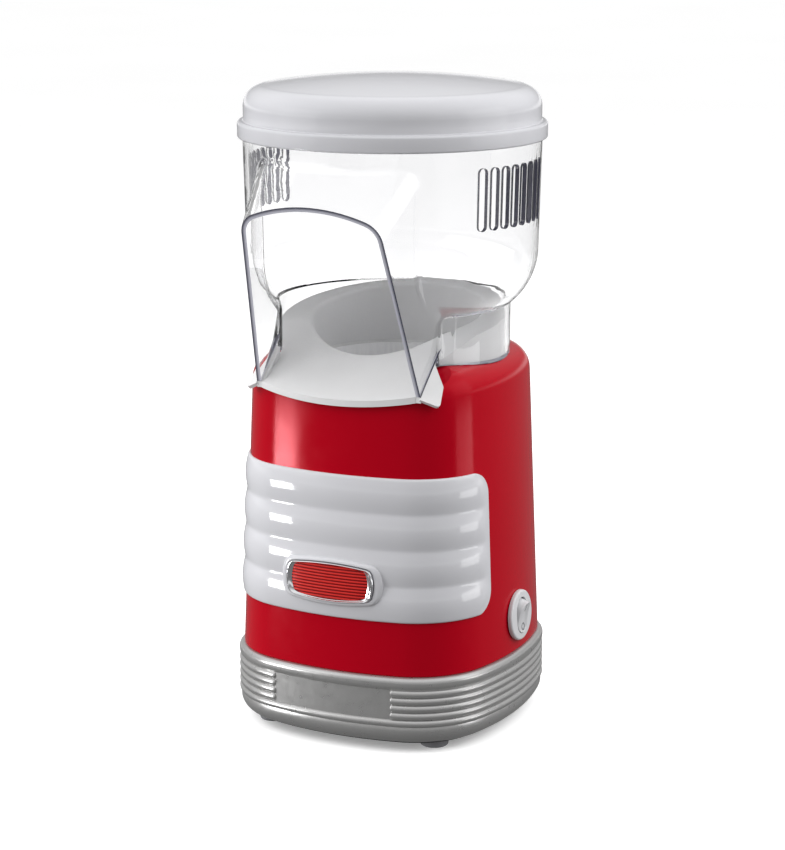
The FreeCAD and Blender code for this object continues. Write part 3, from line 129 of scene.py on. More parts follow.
def wire(name, points, closed):
    """Object of edges only through points in metres, for a path or a profile."""
    count = len(points)
    edges = [(i, (i + 1) % count) for i in range(count if closed else count - 1)]
    return object_of(name, points, edges, [])


def new_tree(name, sockets):
    """Geometry Nodes tree with a geometry output, and what it is given: geometry and named inputs."""
    tree = bpy.data.node_groups.new(name, "GeometryNodeTree")
    tree.interface.new_socket("Geometry", in_out="INPUT", socket_type="NodeSocketGeometry")
    for label, kind in sockets:
        tree.interface.new_socket(label, in_out="INPUT", socket_type="NodeSocket" + kind)
    tree.interface.new_socket("Geometry", in_out="OUTPUT", socket_type="NodeSocketGeometry")
    return tree, tree.nodes.new("NodeGroupInput").outputs


def end_tree(tree, given, geometry):
    """End of each tree: realized instances with their material."""
    whole = add_node(tree, "GeometryNodeRealizeInstances", {"Geometry": geometry}).outputs["Geometry"]
    paint = add_node(tree, "GeometryNodeSetMaterial", {"Geometry": whole, "Material": given["Material"]})
    add_node(tree, "NodeGroupOutput", {"Geometry": paint.outputs["Geometry"]})
    return tree


def made_plain(made):
    """Keep the result of an object's modifiers as its plain mesh."""
    bpy.context.view_layer.update()
    ready = made.evaluated_get(bpy.context.evaluated_depsgraph_get())
    mesh = bpy.data.meshes.new_from_object(ready)
    made.modifiers.clear()
    made.data = mesh


def run_tree(made, tree, values):
    """Run a tree on an object and keep its result."""
    modifier = made.modifiers.new(tree.name, "NODES")
    modifier.node_group = tree
    for socket in tree.interface.items_tree:
        if socket.in_out == "INPUT" and socket.name in values:
            modifier[socket.identifier] = values[socket.name]
    made_plain(made)
    if made.data.materials[0] is None:
        made.data.materials.pop(index=0)


def smooth(made, sharp_deg=35.0):
    """Weld a closed mesh, turn its faces outwards and shade it smoothly up to an edge angle."""
    work = bmesh.new()
    work.from_mesh(made.data)
    bmesh.ops.remove_doubles(work, verts=work.verts, dist=0.002 * MM)
    bmesh.ops.recalc_face_normals(work, faces=work.faces)
    work.to_mesh(made.data)
    work.free()
    made.data.shade_smooth()
    made.data.set_sharp_from_angle(angle=math.radians(sharp_deg))
    return made


def settle(made, body, slot, *stands_for):
    """A finished piece rides on its body and stands for its nodes; its slot is not used."""
    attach(made, body)
    if stands_for:
        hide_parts(*stands_for)


def swept_tree():
    """Profile swept along a path: the profile's X goes outwards and its -Y goes up."""
    tree, given = new_tree("swept_section", (("Profile", "Object"), ("Material", "Material")))
    path = add_node(tree, "GeometryNodeMeshToCurve", {"Mesh": given["Geometry"]}).outputs["Curve"]
    info = add_node(tree, "GeometryNodeObjectInfo", {"Object": given["Profile"]}).outputs["Geometry"]
    section = add_node(tree, "GeometryNodeMeshToCurve", {"Mesh": info}).outputs["Curve"]
    sweep = add_node(tree, "GeometryNodeCurveToMesh", {"Curve": path, "Profile Curve": section})
    return end_tree(tree, given, sweep.outputs["Mesh"])


sweep_section = swept_tree()


def swept(name, path, profile, material):
    """Ring swept from a closed (outwards, up) profile in millimetres along a closed path in metres."""
    made = wire(name, path, True)
    section = wire(name + "_section", [(out * MM, -up * MM, 0.0) for out, up in profile], True)
    run_tree(made, sweep_section, {"Profile": section, "Material": material})
    bpy.data.objects.remove(section)
    return smooth(made)


def ring(radius, count):
    """Circle of a radius in millimetres as (x, y) points."""
    turns = [2.0 * math.pi * i / count for i in range(count)]
    return [(radius * math.cos(a), radius * math.sin(a)) for a in turns]


def bend(first, middle, last, count):
    """Points of the arc through three points, without the first one."""
    (ax, ay), (bx, by), (cx, cy) = first, middle, last
    d = 2.0 * (ax * (by - cy) + bx * (cy - ay) + cx * (ay - by))
    a2, b2, c2 = ax**2 + ay**2, bx**2 + by**2, cx**2 + cy**2
    ux = (a2 * (by - cy) + b2 * (cy - ay) + c2 * (ay - by)) / d
    uy = (a2 * (cx - bx) + b2 * (ax - cx) + c2 * (bx - ax)) / d
    radius = math.hypot(ax - ux, ay - uy)
    start = math.atan2(ay - uy, ax - ux)
    through = (math.atan2(by - uy, bx - ux) - start) % (2.0 * math.pi)
    turn = (math.atan2(cy - uy, cx - ux) - start) % (2.0 * math.pi)
    if through > turn:
        turn -= 2.0 * math.pi
    angles = [start + turn * (i + 1) / count for i in range(count)]
    return [(ux + radius * math.cos(a), uy + radius * math.sin(a)) for a in angles]


def rounded(corners, count=5):
    """Closed profile through (x, y, radius) corners, each rounded by its radius."""
    points = []
    for i, (x, y, radius) in enumerate(corners):
        here = Vector((x, y))
        back = (Vector(corners[i - 1][:2]) - here).normalized()
        ahead = (Vector(corners[(i + 1) % len(corners)][:2]) - here).normalized()
        half = back.angle(ahead) / 2.0
        if radius == 0.0:
            points.append((x, y))
            continue
        reach = radius / math.tan(half)
        middle = here + (back + ahead).normalized() * (radius / math.sin(half) - radius)
        start = tuple(here + back * reach)
        points.append(start)
        points.extend(bend(start, tuple(middle), tuple(here + ahead * reach), count))
    return points


def copies_tree():
    """One piece copied to each point of the input mesh."""
    tree, given = new_tree("copies_at_points", (("Piece", "Object"), ("Material", "Material")))
    info = add_node(tree, "GeometryNodeObjectInfo", {"Object": given["Piece"]}).outputs["Geometry"]
    copies = add_node(tree, "GeometryNodeInstanceOnPoints", {"Points": given["Geometry"], "Instance": info})
    return end_tree(tree, given, copies.outputs["Instances"])


copy_at_points = copies_tree()


def copied(name, piece, places, material):
    """One object with a copy of a piece at each place, and the piece itself taken away."""
    made = object_of(name, places, [], [])
    run_tree(made, copy_at_points, {"Piece": piece, "Material": material})
    bpy.data.objects.remove(piece)
    return smooth(made)


FOOT_REACH, FOOT_RING, FOOT_HALF, FOOT_TOP = 41.7, 5.0, 1.5, 3.2
foot_rubber = moulded("foot_rubber", (0.2, 0.2, 0.21), (0.15, 0.15, 0.16), (0.6, 0.8), 900.0, 0.0001)
foot_section = rounded(((-FOOT_HALF, 0.0, 0.5), (FOOT_HALF, 0.0, 0.9),
                        (FOOT_HALF, FOOT_TOP, 0.2), (-FOOT_HALF, FOOT_TOP, 0.2)))
foot = swept("foot", [(x * MM, y * MM, 0.0) for x, y in ring(FOOT_RING, 48)], foot_section, foot_rubber)
corners = [(sx * FOOT_REACH, sy * FOOT_REACH) for sx in (-1, 1) for sy in (-1, 1)]
settle(copied("feet_rubber", foot, on_level(corners), foot_rubber), "housing", "foot_rubber", "feet")

# Bottom plate and its screws: a black textured moulding with air slots for the fan, held up by pan-head
# screws with crossed drives, four through the feet and four into the legs of the fan duct.
plate_plastic = moulded("plate_plastic", (0.03, 0.03, 0.032), (0.02, 0.02, 0.022), (0.45, 0.65), 700.0, 0.00015)
COLUMN_Y, LEG_REACH = 5.0, 36.7


def solid(name, points, faces, material, sharp_deg=35.0):
    """Closed mesh with its material, shaded smoothly up to an edge angle."""
    made = object_of(name, points, [], faces)
    made.data.materials.append(material)
    return smooth(made, sharp_deg)


def welded(name, node, material, sharp_deg=35.0):
    """Welded copy of a node, shaded smoothly, that stands for it."""
    source = nodes[node].data
    faces = [tuple(p.vertices) for p in source.polygons]
    return solid(name, [v.co.copy() for v in source.vertices], faces, material, sharp_deg)


def own_finish(material, *names):
    """Finish on nodes that keep their own mesh."""
    for name in names:
        nodes[name].data.materials.clear()
        nodes[name].data.materials.append(material)


settle(welded("bottom_plate_moulding", "bottom_plate", plate_plastic), "housing", "dark_plastic", "bottom_plate")


def brushed(name, colour, streak, polish, along):
    """Bare metal: fine streaks drawn out along one axis, with uneven polish."""
    material, tree, shader, coords = start_material(name)
    shader.inputs["Metallic"].default_value = 1.0
    stretch = add_node(tree, "ShaderNodeMapping", {"Vector": coords, "Scale": along})
    streaks = noise(tree, stretch.outputs["Vector"], 60.0, 4.0)
    colours = blend_colours(tree, spread(tree, streaks, 0.0, 1.0), streak, colour)
    coat(tree, shader, colours, spread(tree, streaks, *polish), streaks, 0.00002)
    return material


zinc = brushed("zinc_plate", (0.62, 0.62, 0.66), (0.5, 0.51, 0.56), (0.28, 0.42), (6.0, 6.0, 6.0))
HEAD_RADIUS, HEAD_LOW, HEAD_TOP = 3.0, 1.4, 3.2
RECESS_LONG, RECESS_WIDE, RECESS_DEEP = 1.7, 0.36, 1.6


def screw_head():
    """Pan head seen from below: a rounded disc with a crossed recess sunk into it."""
    head = swept("screw_head", [(x * MM, y * MM, 0.0) for x, y in ring(1.0, 40)],
                 rounded(((-1.0, HEAD_LOW, 0.0), (HEAD_RADIUS - 1.0, HEAD_LOW, 0.7),
                          (HEAD_RADIUS - 1.0, HEAD_TOP, 0.1), (-1.0, HEAD_TOP, 0.0))), zinc)
    arms = []
    for long, wide in ((RECESS_LONG, RECESS_WIDE), (RECESS_WIDE, RECESS_LONG)):
        bpy.ops.mesh.primitive_cube_add(size=1.0, location=(0.0, 0.0, HEAD_LOW * MM))
        arm = bpy.context.object
        arm.scale = (2.0 * long * MM, 2.0 * wide * MM, RECESS_DEEP * MM)
        cut = head.modifiers.new("recess", "BOOLEAN")
        cut.operation = "DIFFERENCE"
        cut.object = arm
        arms.append(arm)
    made_plain(head)
    for arm in arms:
        bpy.data.objects.remove(arm)
    return head


leg = LEG_REACH * math.sqrt(0.5)
legs = [(sx * leg, sy * leg + COLUMN_Y) for sx in (-1, 1) for sy in (-1, 1)]
for screw, places in (("base_screw", corners), ("duct_screw", legs)):
    heads = copied(screw + "_heads", screw_head(), on_level(places), zinc)
    settle(heads, "housing", "zinc_steel", screw + "s")

# Base ring: a plastic ring sprayed in satin silver, with a fat bead along its top, four half-round ribs
# that stop at a bare plaque in front, a lower bead and a bowl-shaped underside.
HALF_WIDTH, SIDE_RADIUS, CORNER_RADIUS = 64.4, 140.0, 38.0
PLAN_LEAD, PLAN_SPAN = SIDE_RADIUS - HALF_WIDTH, SIDE_RADIUS - CORNER_RADIUS
PLAN_CORNER = (math.sqrt(2.0 * PLAN_SPAN**2 - PLAN_LEAD**2) - PLAN_LEAD) / 2.0
PLAN_MEET = math.atan2(PLAN_CORNER, PLAN_CORNER + PLAN_LEAD)


def plan_outline(offset=0.0, side=26, corner=34):
    """Plan of the body in millimetres, anticlockwise from the right: bowed sides and corner arcs."""
    quarter = []
    for cx, cy, radius, first, last, count in (
            (-PLAN_LEAD, 0.0, SIDE_RADIUS, 0.0, PLAN_MEET, side),
            (PLAN_CORNER, PLAN_CORNER, CORNER_RADIUS, PLAN_MEET, math.pi / 2 - PLAN_MEET, corner),
            (0.0, -PLAN_LEAD, SIDE_RADIUS, math.pi / 2 - PLAN_MEET, math.pi / 2, side)):
        for i in range(count):
            a = first + (last - first) * i / count
            quarter.append((cx + (radius + offset) * math.cos(a), cy + (radius + offset) * math.sin(a)))
    points = []
    for turn in ((1, 0), (0, 1), (-1, 0), (0, -1)):
        points.extend((x * turn[0] - y * turn[1], x * turn[1] + y * turn[0]) for x, y in quarter)
    return points


def silver_paint():
    """Satin metallic spray: fine bright flakes, soft mottling and a slight orange peel."""
    material, tree, shader, coords = start_material("silver_spray")
    shader.inputs["Metallic"].default_value = 0.75
    flakes = add_node(tree, "ShaderNodeTexVoronoi", {"Vector": coords, "Scale": 4200.0})
    sparkle = add_node(tree, "ShaderNodeSeparateColor", {"Color": flakes.outputs["Color"]})
    glint = spread(tree, sparkle.outputs["Red"], 0.0, 1.0, 0.1, 0.95)
    colours = blend_colours(tree, glint, (0.48, 0.477, 0.473), (0.51, 0.507, 0.503))
    mottling = spread(tree, noise(tree, coords, 320.0), 0.27, 0.36)
    coat(tree, shader, colours, mottling, noise(tree, coords, 1100.0), 0.000015)
    return material


silver = silver_paint()
BASE_TOP, TOP_BEAD_LOW, RIBS_LOW, LOW_BEAD_LOW, BASE_EDGE = 36.1, 30.3, 16.3, 12.9, 4.3
WALL, BEAD_OUT = 1.2, 2.4


def drawn(*steps):
    """Profile through (x, y) steps; a step of three is an arc on from there: a middle, an end and a count."""
    points = []
    for step in steps:
        points += bend(points[-1], *step) if len(step) == 3 else [step]
    return points


base_profile = drawn(
    (-0.9, BASE_TOP), (0.7, BASE_TOP), ((2.1, 34.9), (BEAD_OUT, 33.2), 7), ((2.1, 31.5), (WALL, TOP_BEAD_LOW), 7),
    (WALL, 26.8), (WALL, 23.3), (WALL, 19.8), (WALL, RIBS_LOW), ((BEAD_OUT, 14.6), (WALL + 0.2, LOW_BEAD_LOW), 12),
    ((0.3, 7.0), (-4.2, BASE_EDGE), 14), (-5.4, BASE_EDGE), (-5.4, 5.6), (-7.4, 5.6), (-7.4, 7.6), (-3.4, 7.6),
    (-0.9, LOW_BEAD_LOW))
base = swept("base_ring_spray", on_level(plan_outline()), base_profile, silver)


def bored(made, place, radius, sharp_deg=35.0):
    """Round hole in millimetres through the wall of a closed mesh, along the X axis of a place."""
    drill = object_of("drill", [], [], [])
    work = bmesh.new()
    bmesh.ops.create_cone(work, cap_ends=True, segments=96, radius1=radius * MM, radius2=radius * MM,
                          depth=BORE_DEPTH * MM, matrix=place @ Matrix.Rotation(math.pi / 2, 4, "Y"))
    work.to_mesh(drill.data)
    work.free()
    hole = made.modifiers.new("bore", "BOOLEAN")
    hole.operation, hole.solver, hole.object = "DIFFERENCE", "EXACT", drill
    made_plain(made)
    bpy.data.objects.remove(drill)
    smooth(made, sharp_deg)


BORE_DEPTH, GLAND_Z, GLAND_RADIUS = 14.0, 22.6, 6.0
gland_place = Matrix.Translation(put(0.0, HALF_WIDTH, GLAND_Z)) @ Matrix.Rotation(math.pi / 2, 4, "Z")
bored(base, gland_place, GLAND_RADIUS)
PLAQUE_HALF = 28.5


def maths(tree, operation, *values):
    """Result of an operation on numbers or on outputs of other nodes."""
    node = tree.nodes.new("ShaderNodeMath")
    node.operation = operation
    return fill(node, dict(enumerate(values))).outputs["Value"]


def rib_tree():
    """Half-round ribs stacked down the wall along an open path, with ends that run out round."""
    tree, given = new_tree("rib_stack", (("Rib Count", "Int"), ("Pitch", "Float"), ("Bulge", "Float"),
                                         ("End Round", "Float"), ("Material", "Material")))
    half = maths(tree, "MULTIPLY", given["Pitch"], RIB_SHARE / 2)
    arc = add_node(tree, "GeometryNodeCurveArc", {"Resolution": 13})
    arc.mode = "POINTS"
    for label, x, y in (("Start", 0.0, maths(tree, "MULTIPLY", half, -1.0)), ("Middle", given["Bulge"], 0.0),
                        ("End", 0.0, half)):
        spot = add_node(tree, "ShaderNodeCombineXYZ", {"X": x, "Y": y})
        fill(arc, {label: spot.outputs["Vector"]})
    closed = add_node(tree, "GeometryNodeSetSplineCyclic", {"Geometry": arc.outputs["Curve"], "Cyclic": True})
    along = tree.nodes.new("GeometryNodeSplineParameter").outputs["Length"]
    whole = tree.nodes.new("GeometryNodeSplineLength").outputs["Length"]
    nearest = maths(tree, "MINIMUM", along, maths(tree, "SUBTRACT", whole, along))
    share = maths(tree, "MINIMUM", maths(tree, "DIVIDE", nearest, given["End Round"]), 1.0)
    rest = maths(tree, "SUBTRACT", 1.0, share)
    size = maths(tree, "SQRT", maths(tree, "SUBTRACT", 1.0, maths(tree, "MULTIPLY", rest, rest)))
    path = add_node(tree, "GeometryNodeMeshToCurve", {"Mesh": given["Geometry"]}).outputs["Curve"]
    sweep = add_node(tree, "GeometryNodeCurveToMesh", {
        "Curve": path, "Profile Curve": closed.outputs["Geometry"], "Scale": size})
    drop = add_node(tree, "ShaderNodeCombineXYZ", {"Z": maths(tree, "MULTIPLY", given["Pitch"], -1.0)})
    levels = add_node(tree, "GeometryNodeMeshLine", {"Count": given["Rib Count"], "Offset": drop.outputs["Vector"]})
    stack = add_node(tree, "GeometryNodeInstanceOnPoints", {
        "Points": levels.outputs["Mesh"], "Instance": sweep.outputs["Mesh"]})
    return end_tree(tree, given, stack.outputs["Instances"])


def rib_path():
    """Path of the top rib from the right of the plaque round the back to its left."""
    points = plan_outline(WALL, 60, 60)
    start = next(i for i, (x, y) in enumerate(points) if y < 0 and x > PLAQUE_HALF)
    around = points[start:] + points[:start]
    end = next(i for i, (x, y) in enumerate(around) if y < 0 and -PLAQUE_HALF < x < 0)
    return around[:end]


RIB_COUNT, RIB_PITCH, RIB_SHARE, RIB_BULGE, RIB_END = 4, 3.5, 0.994, 1.15, 1.4
ribs = wire("base_ribs", on_level(rib_path(), TOP_BEAD_LOW - RIB_PITCH / 2), False)
run_tree(ribs, rib_tree(), {"Rib Count": RIB_COUNT, "Pitch": RIB_PITCH * MM, "Bulge": RIB_BULGE * MM,
                            "End Round": RIB_END * MM, "Material": silver})
smooth(ribs)
settle(base, "housing", "silver_paint", "base_ring")
settle(ribs, "housing", "silver_paint")

# Cord gland: a black moulded bush through the rear of the base ring, with a round flange outside,
# for the mains lead to come in by.
black_plastic = moulded("black_satin", (0.02, 0.02, 0.021), (0.014, 0.014, 0.015), (0.35, 0.5), 800.0, 0.0001)
settle(welded("cord_gland_bush", "cord_gland", black_plastic), "housing", "black_plastic", "cord_gland")

# Terminal block: a natural nylon strip on the bottom plate where the lead is clamped.
# Its ways are moulded holes with small steel screws inside.
nylon = moulded("natural_nylon", (0.78, 0.76, 0.7), (0.7, 0.68, 0.62), (0.4, 0.55), 500.0, 0.0001)
own_finish(nylon, "terminal_block")

# Fan duct and impeller: heat-proof grey mouldings. The duct stands on four legs and holds the motor
# below its floor; the wheel above the floor drives air up past the heater.
duct_plastic = moulded("duct_grey", (0.2, 0.2, 0.205), (0.16, 0.16, 0.165), (0.45, 0.6), 600.0, 0.00012)
own_finish(duct_plastic, "fan_duct", "fan_impeller")

# Motor: a drawn steel can with a black end cap, bronze bushes, ferrite magnets and a slotted armature
# on a ground shaft; a small green board with four diodes sits on its brass tabs.
motor_steel = brushed("motor_steel", (0.5, 0.5, 0.51), (0.38, 0.38, 0.39), (0.3, 0.45), (1.0, 1.0, 12.0))
bronze = brushed("sintered_bronze", (0.5, 0.32, 0.14), (0.4, 0.25, 0.1), (0.4, 0.6), (8.0, 8.0, 8.0))
brass = brushed("bare_brass", (0.68, 0.5, 0.2), (0.56, 0.4, 0.15), (0.25, 0.4), (3.0, 3.0, 9.0))
ferrite = moulded("ferrite_grey", (0.06, 0.06, 0.065), (0.045, 0.045, 0.05), (0.55, 0.7), 900.0, 0.0001)
board_green = moulded("board_green", (0.02, 0.14, 0.05), (0.015, 0.1, 0.04), (0.35, 0.5), 400.0, 0.00005)
own_finish(motor_steel, "motor_can", "motor_armature")
own_finish(zinc, "motor_shaft", "motor_screws")
own_finish(black_plastic, "motor_endcap", "diodes")
own_finish(bronze, "motor_bushes")
own_finish(brass, "motor_tabs")
own_finish(ferrite, "motor_magnets")
own_finish(board_green, "rectifier_board")

# Heater: a sheet-steel jacket, two crossed mica cards and a coil of resistance wire wound round them,
# with a disc thermostat and a thermal fuse clipped to the jacket.
jacket_steel = brushed("jacket_steel", (0.56, 0.56, 0.57), (0.45, 0.45, 0.46), (0.3, 0.45), (10.0, 10.0, 1.0))
mica = moulded("mica_sheet", (0.55, 0.48, 0.36), (0.42, 0.36, 0.26), (0.3, 0.5), 300.0, 0.0001, 90.0)
heater_wire = brushed("heater_wire", (0.35, 0.33, 0.31), (0.22, 0.2, 0.19), (0.4, 0.6), (5.0, 5.0, 5.0))
own_finish(jacket_steel, "heater_jacket", "thermostat", "thermal_fuse")
own_finish(mica, "mica_frame")
own_finish(heater_wire, "heater_coil")

# Popping chamber: a drawn aluminium pot with slanted louvres low in its wall, hung by its flange,
# and a white silicone gasket between the flange and the deck.
pot_metal = brushed("drawn_aluminium", (0.95, 0.95, 0.95), (0.86, 0.86, 0.87), (0.5, 0.65), (9.0, 9.0, 1.0))
pot_metal.node_tree.nodes["Principled BSDF"].inputs["Metallic"].default_value = 0.35
settle(welded("popping_pot", "popping_chamber", pot_metal), "housing", "chamber_aluminium", "popping_chamber")
silicone = moulded("white_silicone", (0.75, 0.75, 0.75), (0.68, 0.68, 0.68), (0.5, 0.65), 700.0, 0.0001)
own_finish(silicone, "chamber_gasket")

# Housing shell: one deep gloss-red moulding with a slight draft and a wide rounded shoulder. Its front
# is cut down on a slope under the ramp of the deck.
def gloss(name, colour, shade, polish, shine, tint=(1.0, 1.0, 1.0)):
    """High-gloss moulded plastic: slightly uneven colour, a faint ripple and a shine tinted by the pigment."""
    material = moulded(name, colour, shade, polish, 260.0, 0.00001, 18.0)
    shader = material.node_tree.nodes["Principled BSDF"]
    fill(shader, {"Specular IOR Level": shine, "Specular Tint": (*tint, 1.0)})
    return material


red_gloss = gloss("red_gloss", (0.38, 0.0008, 0.009), (0.36, 0.0008, 0.008), (0.14, 0.2), 0.32, (1.0, 0.2, 0.24))
DRAFT = math.tan(math.radians(2.35))
HOUSING_TOP, SHOULDER, SHELL, EASE, TURN_Z = 175.0, 13.0, 2.5, 0.6, 150.0


def wall_offset(z):
    """Offset of the housing's drafted wall from the plan at a height."""
    return -DRAFT * (z - BASE_TOP)


lean = math.atan(DRAFT)
shoulder_out = (-SHOULDER - (HOUSING_TOP - SHOULDER - BASE_TOP) * math.sin(lean)) / math.cos(lean)


def on_shoulder(radius, a):
    """Point of an arc about the middle of the shoulder's bend."""
    return (shoulder_out + radius * math.cos(a), HOUSING_TOP - SHOULDER + radius * math.sin(a))


shoulder_arc = [on_shoulder(SHOULDER, lean + (math.pi / 2 - lean) * i / 20) for i in range(21)]
wall_levels = [BASE_TOP + EASE + (shoulder_arc[0][1] - BASE_TOP - EASE) * i / 12 for i in range(12)]
housing_profile = [(-SHELL, BASE_TOP), (-0.5, BASE_TOP)] + [(wall_offset(z), z) for z in wall_levels] + shoulder_arc
housing_profile += [(shoulder_out - EASE, HOUSING_TOP), (shoulder_out - EASE, HOUSING_TOP - SHELL),
                    (shoulder_out, HOUSING_TOP - SHELL)]
housing_profile += [on_shoulder(SHOULDER - SHELL, a) for a in (1.2, 0.8, 0.4)]
housing_profile += [(wall_offset(TURN_Z) - SHELL, TURN_Z)]
housing = swept("housing_gloss", on_level(plan_outline(0.0, 40, 44)), housing_profile, red_gloss)
LIP_REACH, LIP_Z, RAMP_DEG, DECK_THICK = 61.8, 161.3, 30.2, 2.5


def cut_above(made, point, normal):
    """Cut a closed mesh by a plane, drop what lies above it and close the cut."""
    work = bmesh.new()
    work.from_mesh(made.data)
    everything = work.verts[:] + work.edges[:] + work.faces[:]
    result = bmesh.ops.bisect_plane(work, geom=everything, plane_co=point, plane_no=normal, clear_outer=True)
    rim = [e for e in result["geom_cut"] if isinstance(e, bmesh.types.BMEdge)]
    bmesh.ops.holes_fill(work, edges=rim)
    work.to_mesh(made.data)
    work.free()


slope = math.radians(RAMP_DEG)
under_ramp = LIP_Z - DECK_THICK / math.cos(slope)
cut_above(housing, put(0.0, -LIP_REACH, under_ramp), (0.0, -math.sin(slope), math.cos(slope)))
smooth(housing, 30.0)
SWITCH_Y, SWITCH_Z, SWITCH_HOLE = 2.0, 52.7, 9.95
switch_place = (Matrix.Translation(put(HALF_WIDTH + wall_offset(SWITCH_Z), SWITCH_Y, SWITCH_Z))
                @ Matrix.Rotation(-lean, 4, "Y"))
bored(housing, switch_place, SWITCH_HOLE, 30.0)
settle(housing, "housing", "red_gloss", "housing_shell")

# Front band: a gloss-white cover clipped round the front of the housing, pressed into four soft lobes,
# with rounded ends and a raised pad for the badge.
white_gloss = gloss("white_gloss", (0.55, 0.55, 0.575), (0.53, 0.53, 0.555), (0.06, 0.1), 0.5)
BAND_LOW, BAND_HIGH, BAND_END_Y, BAND_CORNER = 61.2, 127.1, -24.0, 11.0
BAND_LOBES, BAND_EDGE, BAND_CREST, BAND_BACK, BAND_ROUND = 4, 0.9, 2.0, 0.05, 0.9
BAND_RUN, BAND_FADE, BAND_COLUMNS, BAND_ROWS, FRONT_STEPS = 190.0, 14.0, 300, 66, 60


def front_arc():
    """Plan of the front from left to right: centre, radius and angle of each point."""
    turns = (math.pi, math.pi + PLAN_MEET, 1.5 * math.pi - PLAN_MEET, 1.5 * math.pi + PLAN_MEET,
             2 * math.pi - PLAN_MEET, 2 * math.pi)
    arcs = ((PLAN_LEAD, 0.0, SIDE_RADIUS), (-PLAN_CORNER, -PLAN_CORNER, CORNER_RADIUS), (0.0, PLAN_LEAD, SIDE_RADIUS),
            (PLAN_CORNER, -PLAN_CORNER, CORNER_RADIUS), (-PLAN_LEAD, 0.0, SIDE_RADIUS))
    return [(*arc, first + (last - first) * i / FRONT_STEPS)
            for arc, first, last in zip(arcs, turns, turns[1:]) for i in range(FRONT_STEPS)]


front_stops = front_arc()
front_y = np.array([cy + r * math.sin(a) for cx, cy, r, a in front_stops])
front_half = sum(a < 1.5 * math.pi for cx, cy, r, a in front_stops)


def stop_at(y_limit, right):
    """Fractional place along the front arc where the plan passes a depth on the left or right side."""
    if right:
        return float(np.interp(y_limit, front_y[front_half:], range(front_half, len(front_y))))
    return float(np.interp(-y_limit, -front_y[:front_half], range(front_half)))


def on_front(place, offset, z):
    """Point at a fractional place along the front arc, an offset out from the plan."""
    low = int(min(max(place, 0), len(front_stops) - 2))
    share = place - low
    (ax, ay), (bx, by) = [(cx + (r + offset) * math.cos(a), cy + (r + offset) * math.sin(a))
                          for cx, cy, r, a in front_stops[low:low + 2]]
    return put(ax + (bx - ax) * share, ay + (by - ay) * share, z)


def sheet_faces(rows, width):
    """Quads of a front sheet of points in rows, and of a back sheet after it that faces the other way."""
    faces, size = [], rows * width
    for j in range(rows - 1):
        for i in range(width - 1):
            a = j * width + i
            faces.append((a, a + 1, a + width + 1, a + width))
            faces.append((size + a, size + a + width, size + a + width + 1, size + a + 1))
    return faces


def band_mesh():
    """Closed shell: a lobed front that rounds down to the housing at its rim, and a plain back."""
    fine = [BAND_ROUND * (1 - math.cos(math.pi / 2 * i / 5)) for i in range(5)]
    levels = [BAND_LOW + f for f in fine]
    levels += list(np.linspace(BAND_LOW + BAND_ROUND, BAND_HIGH - BAND_ROUND, BAND_ROWS))
    levels += [BAND_HIGH - f for f in reversed(fine)]
    ends = [0.0, 0.0006, 0.0016, 0.003, 0.0046]
    shares = ends + list(np.linspace(0.0062, 0.9938, BAND_COLUMNS)) + [1 - s for s in reversed(ends)]
    pitch = (BAND_HIGH - BAND_LOW) / BAND_LOBES
    front, back = [], []
    for z in levels:
        near = min(z - BAND_LOW, BAND_HIGH - z)
        tuck = BAND_CORNER - math.sqrt(max(BAND_CORNER**2 - max(BAND_CORNER - near, 0.0)**2, 0.0))
        y_end = BAND_END_Y - tuck
        first, last = stop_at(y_end, False), stop_at(y_end, True)
        base_out = wall_offset(z) + BAND_BACK
        wave = abs(math.sin(math.pi * ((z - BAND_LOW) / pitch % 1.0)))
        for share in shares:
            place = first + (last - first) * share
            inward = min(share, 1 - share) * BAND_RUN
            flat = min(inward / BAND_FADE, 1.0)
            swell = BAND_EDGE + (BAND_CREST - BAND_EDGE) * (wave * flat * flat * (3.0 - 2.0 * flat))
            edge = min(min(near, inward) / BAND_ROUND, 1.0)
            rise = (swell - BAND_BACK) * math.sqrt(1.0 - (1.0 - edge)**2)
            front.append(on_front(place, base_out + rise, z))
            back.append(on_front(place, base_out, z))
    return solid("front_band_cover", front + back, sheet_faces(len(levels), len(shares)), white_gloss, 60.0)


settle(band_mesh(), "housing", "white_gloss", "front_band")
BADGE_Z, BADGE_BOW = 78.0, 0.09


def trimmed(side, radius, count):
    """Points set evenly along a side, from a radius after its start to a radius before its end."""
    xs, zs = np.array(side).T
    run = np.concatenate(([0.0], np.cumsum(np.hypot(np.diff(xs), np.diff(zs)))))
    wanted = np.linspace(radius, run[-1] - radius, count)
    return list(zip(np.interp(wanted, run, xs), np.interp(wanted, run, zs)))


def barrel(half, height, radius):
    """Badge outline seen from the front, bowed on all four sides and rounded at its corners."""
    bow = BADGE_BOW * height
    x, z = half - bow, height / 2 - bow
    corners = [(x, -z), (x, z), (-x, z), (-x, -z)]
    middles = [(0.0, -height / 2), (half, 0.0), (0.0, height / 2), (-half, 0.0)]
    sides = []
    for i, (middle, last) in enumerate(zip(middles, corners)):
        first = corners[i - 1]
        sides.append(trimmed([first] + bend(first, middle, last, 60), radius, 40))
    points = []
    for i, side in enumerate(sides):
        points.extend(side)
        last, corner, follow = (Vector(p) for p in (side[-1], corners[i], sides[(i + 1) % 4][0]))
        for k in range(1, 10):
            t = k / 10
            points.append(tuple(last * (1 - t)**2 + corner * 2 * t * (1 - t) + follow * t**2))
    return points


def on_wall(x, z, out):
    """Point on the front of the housing at a place seen from the front, an offset out from its wall."""
    radius = SIDE_RADIUS + wall_offset(BADGE_Z + z) + out
    return put(x, PLAN_LEAD - math.sqrt(radius**2 - x**2), BADGE_Z + z)


